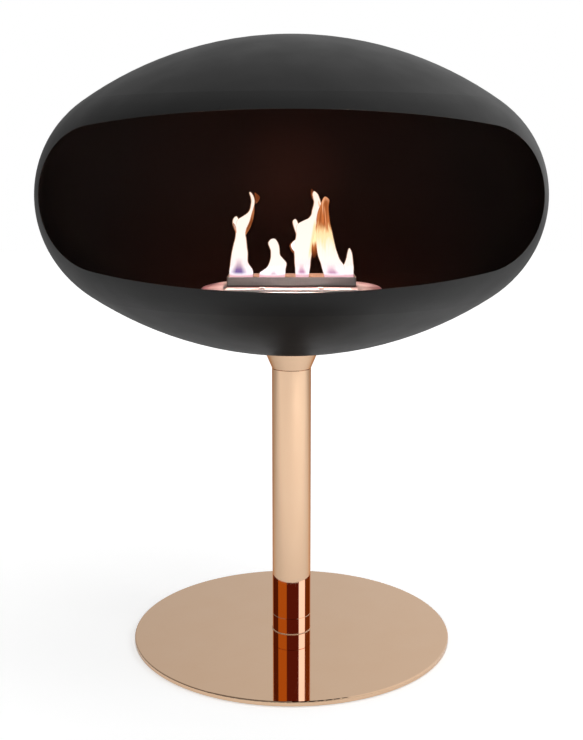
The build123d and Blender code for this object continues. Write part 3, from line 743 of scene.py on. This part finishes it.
SECOND_FLAME = [
    (-10, -24, 15), (2, -23, 15.6), (6, -20.8, 13.6), (10, -18.2, 11.4), (15, -16.8, 10), (21, -18.2, 6.9),
    (25, -19.3, 5.3), (30, -19.6, 5.1), (34.5, -20.7, 5.6), (38.5, -22, 5.7), (41.5, -22.2, 4.5),
    (43.8, -21.9, 2.4), (44.5, -21.8, 0.3)]
THIRD_FLAME = [
    (-10, 13, 7.2), (12, 13.4, 9), (24, 13.6, 10.1), (33, 13.9, 10.6), (41, 15, 10.8), (46, 16.4, 10.8),
    (53, 17.7, 11.3), (58, 18, 12.1), (62, 19.6, 11.4), (65.6, 23, 8.2), (68.5, 26.2, 5.2), (73, 28.2, 3.9),
    (78, 29.4, 4.2), (83, 31, 4.4), (88, 30.9, 3.6), (92.5, 29.7, 3.4), (97, 28.3, 2.8), (100.4, 27.3, 0.3)]
THIRD_HORN = [
    (46, 10.5, 3), (52, 8.8, 3.6), (58, 6.6, 3.3), (62.5, 4.7, 2.8), (65.3, 4.2, 2.1), (67.3, 4.4, 0.3)]
THIRD_FRINGE = [
    (88, 28.2, 0.3), (91, 26.8, 1.6), (95, 25.6, 2.0), (99, 25.0, 1.7), (102, 24.6, 1.0), (103.4, 24.4, 0.2)]
THIRD_CHEEK = [(27, 5.6, 0.3), (29.5, 4.6, 2.2), (33, 3, 3), (36.5, 2.2, 3), (39.5, 3, 2.2), (42.5, 4.4, 0.3)]
THIRD_CHEEK_RIM = [
    (25, 5, 0.3), (28, 3.4, 2.6), (32, 1.8, 3.2), (36, 1, 3.2), (39.5, 2.2, 2.2), (42.5, 4, 0.3)]
FOURTH_FLAME = [
    (-10, 54, 13), (4, 52.2, 13.9), (12, 49.6, 13.4), (19.5, 46, 12.2), (26, 43.5, 11.6), (33, 41.7, 11.2),
    (39, 40.6, 10.8), (46, 39.4, 10.1), (53, 38.6, 9.5), (64, 37.9, 7.9), (74.5, 37.7, 6.4),
    (81.6, 38.8, 5.0), (87.6, 40.3, 4.3), (90.5, 40.9, 3.8), (93, 40.6, 2.1), (94.2, 40.2, 0.3)]
FOURTH_SPIKE = [
    (-10, 67, 8), (7.4, 67.9, 7.2), (14.6, 69.4, 5), (20.7, 70.2, 3.6), (26, 70.3, 2.6), (30.3, 70.1, 1.3),
    (32.4, 69.9, 0.3)]
FOURTH_THREAD = [(75, 36.6, 0.3), (79, 35, 0.8), (83, 33.6, 0.9), (87, 32.6, 0.6), (89.5, 32.2, 0.2)]
WEB = [
    (20, 27.4, 0.8), (24, 27.4, 2.6), (28, 27.3, 3.6), (33, 27.2, 3.8), (39, 27.2, 3.6), (45, 28.2, 3.4),
    (51, 29.4, 3.4), (57, 30.6, 3.4), (64, 32, 3.2), (72, 33, 2.6), (79, 34, 1.6), (84, 34.6, 0.3)]

FIRST_X, SECOND_X, THIRD_X, WEB_X, FOURTH_X, SPIKE_X = -63.0, -22.0, 12.8, 30.0, 49.6, 67.0

# Tongues: name, stations, soot, the x that it stands at, lean, swell and thickness. The cores are the same
# tongues drawn in, and the skins are the same grown a little.
TONGUES = (
    ("flame_1_body", FIRST_FLAME, "first", FIRST_X, 4, 0, 1),
    ("flame_1_core", within(FIRST_FLAME, 15, 67), "core", FIRST_X, 2, -2.5, 1),
    ("flame_1_horn", FIRST_HORN, "first", FIRST_X, 4, 0, 0.6),
    ("flame_1_skin", FIRST_FLAME, "skin", FIRST_X, 4, 0.7, 1),
    ("flame_1_horn_skin", FIRST_HORN, "skin", FIRST_X, 4, 0.7, 0.6),
    ("flame_1_edge", FIRST_EDGE, "wisp", FIRST_X, 3, 0, 0.6),
    ("flame_1_wisp", FIRST_WISP, "wisp", FIRST_X, 4, 0, 1),
    ("flame_1_cheek", FIRST_CHEEK, "wisp", FIRST_X, 0, 0, 1),
    ("flame_2_body", SECOND_FLAME, "second", SECOND_X, -4, 0, 1),
    ("flame_2_core", within(SECOND_FLAME, 10, 39), "core", SECOND_X, -3, -2.5, 1),
    ("flame_2_skin", SECOND_FLAME, "skin", SECOND_X, -4, 0.6, 1),
    ("flame_3_body", THIRD_FLAME, "third", THIRD_X, 5, 0, 1),
    ("flame_3_core", within(THIRD_FLAME, 12, 66), "core", THIRD_X, 3, -2.5, 1),
    ("flame_3_horn", THIRD_HORN, "third", THIRD_X, 5, 0, 0.6),
    ("flame_3_skin", THIRD_FLAME, "skin", THIRD_X, 5, 0.7, 1),
    ("flame_3_horn_skin", THIRD_HORN, "skin", THIRD_X, 5, 0.7, 0.6),
    ("flame_3_fringe", THIRD_FRINGE, "fringe", THIRD_X, 9, 0, 0.6),
    ("flame_3_cheek", THIRD_CHEEK, "third", THIRD_X, 0, 0, 0.6),
    ("flame_3_cheek_rim", THIRD_CHEEK_RIM, "wisp", THIRD_X, 0, 0, 0.3),
    ("flame_4_body", FOURTH_FLAME, "fourth", FOURTH_X, -3, 0, 1),
    ("flame_4_core", within(FOURTH_FLAME, 12, 46), "core", FOURTH_X, -1, -3.5, 1),
    ("flame_4_skin", FOURTH_FLAME, "amber", FOURTH_X, -3, 0.6, 1),
    ("flame_4_spike", FOURTH_SPIKE, "spike", SPIKE_X, 3, 0, 1),
    ("flame_4_spike_core", within(FOURTH_SPIKE, 4, 27), "core", SPIKE_X, 2, -1.0, 1),
    ("flame_4_spike_skin", FOURTH_SPIKE, "skin", SPIKE_X, 3, 0.6, 1),
    ("flame_4_thread", FOURTH_THREAD, "bright", FOURTH_X, -2, 0, 1),
    ("flame_web", WEB, "web", WEB_X, -2, 0, 1),
)


def flame_soots():
    """Materials of the flames' bodies, skins, wisps and cores, by the soot that TONGUES names."""
    fire = flames()
    tall = [(-10, BLUSH, 1), (16, BLUSH, 1), (26, WHITE, 1), (70, WHITE, 1), (110, fire.cream, 1)]
    short = [(-10, BLUSH, 1), (8, BLUSH, 1), (16, WHITE, 1), (60, WHITE, 1)]
    leaning = [(-10, BLUSH, 1), (12, BLUSH, 1), (20, WHITE, 1), (32, fire.cream, 1), (46, fire.yellow, 1),
               (53, fire.yellow, 1), (57.5, STRAW, 1), (63, fire.orange, 1), (84, fire.orange, 1),
               (92, fire.peach, 1), (94, fire.peach, 1)]
    skin = [(2, fire.peach, 0.0), (14, fire.peach, 0.25)]
    return {
        "first": burning_soot("glowing soot, first flame", tall, FIRST_X, [
            (fire.violet, (-63.3, 3.4, 12, 1.8), (-63, 15.5, 5, 7))]),
        "second": burning_soot("glowing soot, second flame", short, SECOND_X, [
            (MAUVE, (-21.5, 2.5, 5.5, 1.2), (-21.5, 5, 3, 2))]),
        "third": burning_soot("glowing soot, third flame", tall, THIRD_X, [
            (fire.lilac, (12.6, 2.8, 7, 1.8), (12.2, 10.5, 3.5, 5)),
            (fire.yellow, (22, 24, 2.6, 6), (28.5, 64, 2.6, 4))]),
        "fourth": burning_soot("glowing soot, fourth flame", leaning, FOURTH_X, [
            (fire.lilac, (49.5, 3, 10, 1.8), (47.5, 9.5, 6, 5)),
            (fire.umber, (38.2, 60, 5.0, 4), (41.6, 91, 3.2, 2.5)),
            (fire.umber, (33.8, 63, 2.0, 4), (35.6, 80, 1.2, 4)),
            (RUST, (37.6, 62, 2.2, 3), (36.8, 78, 1.5, 3)),
            (APRICOT, (41.2, 60, 1.0, 4), (39.4, 82, 0.8, 3)),
            (fire.peach, (37.4, 76, 0.9, 4), (36.6, 94, 1.1, 2))], streak=2.6, reach=6.0),
        "spike": burning_soot("glowing soot, fourth flame's spike", [
            (-10, BLUSH, 1), (40, fire.cream, 1)], SPIKE_X),
        "skin": thin_soot("thin soot skin", skin + [(80, fire.peach, 0.35)], reach=2.0),
        "amber": thin_soot("thin soot skin, fourth flame", skin + [
            (46, fire.peach, 0.25), (60, fire.orange, 0.3), (94, fire.orange, 0.35)], reach=2.0),
        "wisp": thin_soot("thin soot wisp", [
            (26, fire.brown, 0.6), (38, fire.orange, 0.7), (50, TAN, 0.65), (62, fire.umber, 0.6),
            (74, TAN, 0.65), (90, fire.brown, 0.65), (100, fire.umber, 0.65)]),
        "web": thin_soot("thin soot web", [
            (19, fire.brown, 0.0), (25, fire.brown, 0.5), (31, fire.umber, 0.85), (37, fire.orange, 0.95),
            (43, fire.yellow, 0.95), (52, fire.yellow, 0.9), (60, fire.orange, 0.85), (72, fire.umber, 0.7)],
            streak=2.4, reach=3.0),
        "bright": thin_soot("bright soot streak", [(70, fire.peach, 0.7), (92, fire.peach, 0.85)], reach=3.0),
        "fringe": thin_soot("thin soot fringe", [
            (88, fire.brown, 0.5), (96, fire.umber, 0.6), (103, fire.brown, 0.5)], reach=2.0),
        "core": white_hot_soot(),
    }


def felt_floor_pad():
    """Felt pad under the base disc."""
    felt = matted("pressed wool felt", finishes().felt, FELT_SHADE, FELT_FIBRE, FELT_DEPTH)
    low, high = box_mm("floor_pad")
    edge = [(0, low.z), (high.x, low.z), (high.x, high.z), (0, high.z)]
    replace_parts(lathe("felt_floor_pad", edge, felt, "stand", fuzz=FELT_FUZZ), "floor_pad")


def fibre_absorber(fibre):
    """Fibre disc that holds the fuel in the drum."""
    low, high = box_mm("absorber_pad")
    rings = [high.x * i / ABSORBER_RINGS for i in range(ABSORBER_RINGS, -1, -1)]
    edge = [(0, low.z), (high.x - ABSORBER_EDGE, low.z), (high.x, low.z + ABSORBER_EDGE)]
    edge += [(high.x, high.z - ABSORBER_EDGE)]
    edge += [(min(radius, high.x - ABSORBER_EDGE), high.z) for radius in rings]
    disc = lathe("fibre_absorber", edge, fibre, "burner", fuzz=CERAMIC_FUZZ)
    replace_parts(disc, "absorber_pad")


def fibre_neck_gasket(fibre):
    """Fibre paper under the neck's flange, with the mouth and four screw holes cut out."""
    low, high = box_mm("neck_gasket")
    loops = [round_rectangle(2 * high.x, 2 * high.y, FLANGE_CORNER)]
    loops += [round_rectangle(*NECK_MOUTH, MOUTH_CORNER)]
    loops += [circle(NECK_SCREW_HOLE / 2, (x * NECK_SCREW_REACH[0], y * NECK_SCREW_REACH[1]))
              for x in (-1, 1) for y in (-1, 1)]
    gasket = cut_sheet("fibre_neck_gasket", loops, level(low.z), level(high.z), fibre, "burner",
                       fuzz=PAPER_FUZZ)
    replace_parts(gasket, "neck_gasket")


def graphite_gasket():
    """Graphite washer pressed to the firebox's round bottom, cut for the tie rod and the collar screws."""
    high = box_mm("shell_gasket")[1]
    loops = [circle(high.x, sides=96), circle(ROD_HOLE / 2)]
    screws = circle(COLLAR_SCREW_CIRCLE / 2, sides=COLLAR_SCREWS)
    loops += [circle(COLLAR_SCREW_HOLE / 2, screw) for screw in screws]
    gasket = cut_sheet("graphite_gasket", loops, under_shell(GASKET_FOOT), under_shell(GASKET_TOP),
                       pressed_graphite(), "stand", cuts=3)
    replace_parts(gasket, "shell_gasket")


class FIREPLACE_OT_firebox(bpy.types.Operator):
    """Finish the firebox, its stiffener and the pan that the burner stands in."""

    bl_idname = "fireplace.firebox"
    bl_label = "Firebox"

    def execute(self, context):
        coat = satin_powder_coat()
        dress(coat, "firebox_lower", "firebox_upper", "stiffener_disc", "carrier_pan")
        return {"FINISHED"}


class FIREPLACE_OT_mast(bpy.types.Operator):
    """Finish the copper base, mast and collars, and make the fine bead round the mast's foot."""

    bl_idname = "fireplace.mast"
    bl_label = "Mast and base"

    def execute(self, context):
        dress(polished_copper("polished copper plate"), "base_plate")
        tube = polished_copper("polished copper plate, drawn tube", edge=TUBE_EDGE)
        dress(tube, "base_collar", "pedestal_tube", "flared_collar")
        low, high = box_mm("base_collar")
        ring = circle(LACQUER_BEAD, (high.x + LACQUER_BEAD / 3, low.z + LACQUER_BEAD / 2), sides=16)
        lacquered = polished_copper("polished copper plate, lacquer pooled in a bead", metallic=LACQUERED)
        lathe("collar_bead", ring + ring[:1], lacquered, "stand")
        return {"FINISHED"}


class FIREPLACE_OT_soft_parts(bpy.types.Operator):
    """Make the felt floor pad, the fibre absorber and both gaskets."""

    bl_idname = "fireplace.soft_parts"
    bl_label = "Felt, fibre and gaskets"

    def execute(self, context):
        felt_floor_pad()
        fibre = matted("needled ceramic fibre", finishes().fibre, FIBRE_SHADE, CERAMIC_FIBRE, CERAMIC_DEPTH)
        fibre_absorber(fibre)
        fibre_neck_gasket(fibre)
        graphite_gasket()
        return {"FINISHED"}


class FIREPLACE_OT_fasteners(bpy.types.Operator):
    """Finish the tie rod, its nut and washer, and the hidden screws and nuts."""

    bl_idname = "fireplace.fasteners"
    bl_label = "Fasteners"

    def execute(self, context):
        dress(bright_zinc(), "base_screws", "tie_rod", "collar_screws", "rod_washer", "rod_nut", "neck_nuts")
        return {"FINISHED"}


class FIREPLACE_OT_burner(bpy.types.Operator):
    """Finish the burner's drum, grille, plate, neck and gate."""

    bl_idname = "fireplace.burner"
    bl_label = "Burner"

    def execute(self, context):
        dress(brushed_stainless(), "burner_drum", "retaining_grille", "burner_neck", "gate_runner_left",
              "gate_runner_right", "regulator_gate")
        dress(turned_stainless(), "heat_plate", "neck_screws")
        return {"FINISHED"}


class FIREPLACE_OT_flames(bpy.types.Operator):
    """Make the four flames. Their cores alone light what is round them and cast its shadows."""

    bl_idname = "fireplace.flames"
    bl_label = "Flames"

    def execute(self, context):
        soots = flame_soots()
        for name, stations, soot, *shape in TONGUES:
            piece = tongue(name, stations, soots[soot], *shape)
            piece.visible_shadow = piece.visible_diffuse = soot == "core"
        return {"FINISHED"}


# Panels round the studio, which show only in metal that is mirrored in metal: share of a full turn, from the
# back over the left to the back again, and the panel's light. Copper things stand between the lamps, so the
# dark gaps are warm.
BACKDROP = (0.57, 0.58, 0.61)
COPPER_GAP = (0.092, 0.022, 0.008)
BRIGHT_COPPER = (0.46, 0.152, 0.02)
DEEP_GAP = (0.100, 0.016, 0.011)
LAMP = (1.4, 1.6, 2.3)
WARM_GAP = (0.17, 0.05, 0.008)
PANELS = [
    (0.0, BACKDROP), (0.085, BACKDROP),
    (0.10, COPPER_GAP), (0.25, COPPER_GAP),
    (0.256, BRIGHT_COPPER), (0.415, BRIGHT_COPPER),
    (0.422, DEEP_GAP), (0.622, DEEP_GAP),
    (0.630, LAMP), (0.745, LAMP),
    (0.752, WARM_GAP), (0.90, WARM_GAP),
    (0.915, BACKDROP), (1.0, BACKDROP),
]
PANEL_LIMIT = 2.5
PANEL_BOTTOM = (0.15, 0.26)           # heights of a unit direction between which the panels' edges fade
PANEL_TOP = (0.60, 0.80)
UNDER_PANELS = (0.3, 0.3, 0.3, 1)
OVER_PANELS = (0.1, 0.1, 0.1, 1)

# What metal mirrors directly: a soft studio, brightest up and behind on the right
BRIGHT_SIDE = (0.64, 0.33, 0.3)
BRIGHT_SPREAD = 0.75
BRIGHT_POWER = 1.25
BRIGHT_LEVEL = 0.8

FLOOR_HALF = 6.0                      # metres
FLOOR_DROP = 0.0005
FLOOR_PAINT = ((0.78, 0.78, 0.78, 1), (0.82, 0.82, 0.82, 1))
FLOOR_TWICE_MIRRORED = (0.1, 0.1, 0.1, 1)
FLOOR_FRONT = (0.1, -0.99, 0)         # in metal it brightens this way, over these millimetres
FLOOR_FRONT_SPAN = (-650.0, 400.0)
FLOOR_FRONT_LIFT = 0.38
FLOOR_OPEN_SPAN = (250.0, 1800.0)     # to the eye it whitens over these millimetres from the mast
FLOOR_OPEN_LIFT = (0.56, 0.80)

FRAME_HEIGHT = 36                     # millimetres, for the camera's focal length

# Soft lamps: name, place, height that they are aimed at over the mast's axis, width and height, in metres
SOFTBOXES = (
    ("top", (0.35, 0.9, 2.2), 0.5, 1.8, 1.3),
    ("front", (0.9, -1.6, 0.60), 0.46, 0.9, 0.12),
    ("right", (1.7, -0.8, 2.1), 0.5, 0.9, 1.5),
    ("left", (-2.2, -0.6, 1.6), 0.5, 0.9, 1.5),
)


def studio_world():
    """Plain white to the camera, an even soft light on everything, a soft studio in metal, and the panels in
    metal that is mirrored in metal."""
    world = bpy.data.worlds.new("studio")
    world.use_nodes = True
    tree = world.node_tree
    tree.nodes.clear()
    direction = add(tree, "TexCoord").outputs["Generated"]
    parts = add(tree, "SeparateXYZ", {0: direction})
    front = add(tree, "Math", {0: parts.outputs[1], 1: -1.0}, operation="MULTIPLY")
    azimuth = add(tree, "Math", {0: parts.outputs[0], 1: front}, operation="ARCTAN2")
    stops = [(math.pi * (2 * turn - 1), [part / PANEL_LIMIT for part in light], 1.0)
             for turn, light in PANELS]
    panels = add(tree, "VectorMath", {0: colour_ramp(tree, azimuth, stops), 1: (PANEL_LIMIT,) * 3},
                 operation="MULTIPLY")
    above = add(tree, "MapRange", {0: parts.outputs[2], 1: PANEL_TOP[0], 2: PANEL_TOP[1]})
    over = add(tree, "MapRange", {0: parts.outputs[2], 1: PANEL_BOTTOM[0], 2: PANEL_BOTTOM[1]})
    panels = add(tree, "Mix", {0: above, 6: panels, 7: OVER_PANELS}, data_type="RGBA")
    twice = add(tree, "Mix", {0: over, 6: UNDER_PANELS, 7: panels}, data_type="RGBA")
    towards = add(tree, "VectorMath", {0: direction, 1: BRIGHT_SIDE}, operation="DOT_PRODUCT")
    bright = add(tree, "MapRange", {0: towards, 1: -BRIGHT_SPREAD, 2: BRIGHT_SPREAD})
    once = add(tree, "Math", {0: bright, 1: BRIGHT_POWER}, operation="POWER")
    once = add(tree, "Math", {0: once, 1: BRIGHT_LEVEL}, operation="MULTIPLY")
    path = add(tree, "LightPath")
    again = add(tree, "MapRange", {0: path.outputs["Glossy Depth"], 1: 1.0, 2: 2.0})
    mirrored = add(tree, "Mix", {0: again, 6: once, 7: twice}, data_type="RGBA")
    shining = add(tree, "Math", {0: path.outputs["Is Glossy Ray"], 1: path.outputs["Is Transmission Ray"]},
                  operation="MAXIMUM")
    even = (studio().surround,) * 3 + (1,)
    lighting = add(tree, "Mix", {0: shining, 6: even, 7: mirrored}, data_type="RGBA")
    camera_ray = path.outputs["Is Camera Ray"]
    seen = add(tree, "Mix", {0: camera_ray, 6: lighting, 7: (1, 1, 1, 1)}, data_type="RGBA")
    add(tree, "OutputWorld", {"Surface": add(tree, "Background", {0: seen, 1: 1.0})})
    return world


def studio_floor():
    """White floor that keeps the shadow. The camera sees it lifted towards white, most of all far out; metal
    mirrors it lifted towards the front, and metal that is mirrored in metal shows it dark."""
    material, tree = new_material("white studio floor")
    path = add(tree, "LightPath")
    seen = add(tree, "Math", {0: path.outputs["Is Camera Ray"], 1: path.outputs["Is Transmission Ray"]},
               operation="MAXIMUM")
    towards = add(tree, "VectorMath", {0: object_mm(tree), 1: FLOOR_FRONT}, operation="DOT_PRODUCT")
    bright = add(tree, "MapRange", {
        0: towards, 1: FLOOR_FRONT_SPAN[0], 2: FLOOR_FRONT_SPAN[1], 3: 0.0, 4: FLOOR_FRONT_LIFT})
    once = add(tree, "MapRange", {0: path.outputs["Glossy Depth"], 1: 1.0, 2: 2.0, 3: 1.0, 4: 0.0})
    mirrored = add(tree, "Math", {0: path.outputs["Is Glossy Ray"], 1: bright}, operation="MULTIPLY")
    mirrored = add(tree, "Math", {0: mirrored, 1: once}, operation="MULTIPLY")
    reach = add(tree, "VectorMath", {0: object_mm(tree)}, operation="LENGTH")
    open_floor = add(tree, "MapRange", {
        0: reach, 1: FLOOR_OPEN_SPAN[0], 2: FLOOR_OPEN_SPAN[1], 3: FLOOR_OPEN_LIFT[0], 4: FLOOR_OPEN_LIFT[1]})
    grain = add(tree, "TexNoise", {"Vector": object_mm(tree, FLOOR_GRAIN), "Scale": 1.0})
    paint = add(tree, "Mix", {0: grain, 6: FLOOR_PAINT[0], 7: FLOOR_PAINT[1]}, data_type="RGBA")
    return surfaced(material, {
        "Base Color": add(tree, "Mix", {0: once, 6: FLOOR_TWICE_MIRRORED, 7: paint}, data_type="RGBA"),
        "Roughness": 1.0, "Specular IOR Level": 0.0, "Emission Color": (1, 1, 1, 1),
        "Emission Strength": add(tree, "Mix", {0: seen, 2: mirrored, 3: open_floor})})


def softbox(name, place, aim, width, height):
    """Rectangular soft lamp; it lights the object but isn't seen, in metal or by itself."""
    lamp = bpy.data.lights.new(name + " softbox", "AREA")
    lamp.shape = "RECTANGLE"
    lamp.size = width
    lamp.size_y = height
    lamp.energy = getattr(studio(), name + "_power")
    holder = bpy.data.objects.new(name + " softbox", lamp)
    holder.location = place
    holder.rotation_euler = (Vector((0, 0, aim)) - Vector(place)).to_track_quat("-Z", "Y").to_euler()
    holder.visible_camera = False
    holder.visible_glossy = False
    bpy.context.scene.collection.objects.link(holder)


class FIREPLACE_OT_studio(bpy.types.Operator):
    """Make the floor, lights, surroundings and camera."""

    bl_idname = "fireplace.studio"
    bl_label = "Studio"

    def execute(self, context):
        scene = context.scene
        scene.world = studio_world()
        corners = [(x * FLOOR_HALF, y * FLOOR_HALF, 0) for x, y in ((-1, -1), (1, -1), (1, 1), (-1, 1))]
        mesh = bpy.data.meshes.new("studio_floor")
        mesh.from_pydata(corners, [], [(0, 1, 2, 3)])
        mesh.materials.append(studio_floor())
        floor = bpy.data.objects.new("studio_floor", mesh)
        floor.location.z = -FLOOR_DROP
        scene.collection.objects.link(floor)
        for lamp in SOFTBOXES:
            softbox(*lamp)
        lens = bpy.data.cameras.new("camera")
        lens.sensor_fit = "VERTICAL"
        lens.sensor_height = FRAME_HEIGHT
        lens.lens = studio().lens
        lens.shift_y = studio().shift
        camera = bpy.data.objects.new("camera", lens)
        camera.location = (0, -studio().distance, studio().height)
        camera.rotation_euler = (math.pi / 2 - studio().pitch, 0, 0)
        scene.collection.objects.link(camera)
        scene.camera = camera
        scene.view_settings.view_transform = "Standard"
        return {"FINISHED"}


OPERATORS = (FIREPLACE_OT_firebox, FIREPLACE_OT_mast, FIREPLACE_OT_soft_parts, FIREPLACE_OT_fasteners,
             FIREPLACE_OT_burner, FIREPLACE_OT_flames, FIREPLACE_OT_studio)


class FIREPLACE_PT_panel(bpy.types.Panel):
    """Lists the fireplace's steps, sizes and colours."""

    bl_idname = "FIREPLACE_PT_panel"
    bl_label = "Fireplace"
    bl_space_type = "VIEW_3D"
    bl_region_type = "UI"
    bl_category = "Fireplace"

    def draw(self, context):
        for operator in OPERATORS:
            self.layout.operator(operator.bl_idname)
        for group in (finishes(), flames(), studio()):
            column = self.layout.column()
            for key in group.__annotations__:
                column.prop(group, key)


GROUPS = {
    "fireplace_finishes": FireplaceFinishes,
    "fireplace_flames": FireplaceFlames,
    "fireplace_studio": FireplaceStudio,
}


def register():
    for group in GROUPS.values():
        bpy.utils.register_class(group)
    for key, group in GROUPS.items():
        setattr(bpy.types.Scene, key, PointerProperty(type=group))
    for operator in OPERATORS:
        bpy.utils.register_class(operator)
    bpy.utils.register_class(FIREPLACE_PT_panel)


def unregister():
    bpy.utils.unregister_class(FIREPLACE_PT_panel)
    for operator in reversed(OPERATORS):
        bpy.utils.unregister_class(operator)
    for key in GROUPS:
        delattr(bpy.types.Scene, key)
    for group in reversed(list(GROUPS.values())):
        bpy.utils.unregister_class(group)


def main():
    register()
    bpy.ops.fireplace.firebox()
    bpy.ops.fireplace.mast()
    bpy.ops.fireplace.soft_parts()
    bpy.ops.fireplace.fasteners()
    bpy.ops.fireplace.burner()
    bpy.ops.fireplace.flames()
    bpy.ops.fireplace.studio()
    bpy.context.view_layer.update()


if __name__ == "__main__":
    main()
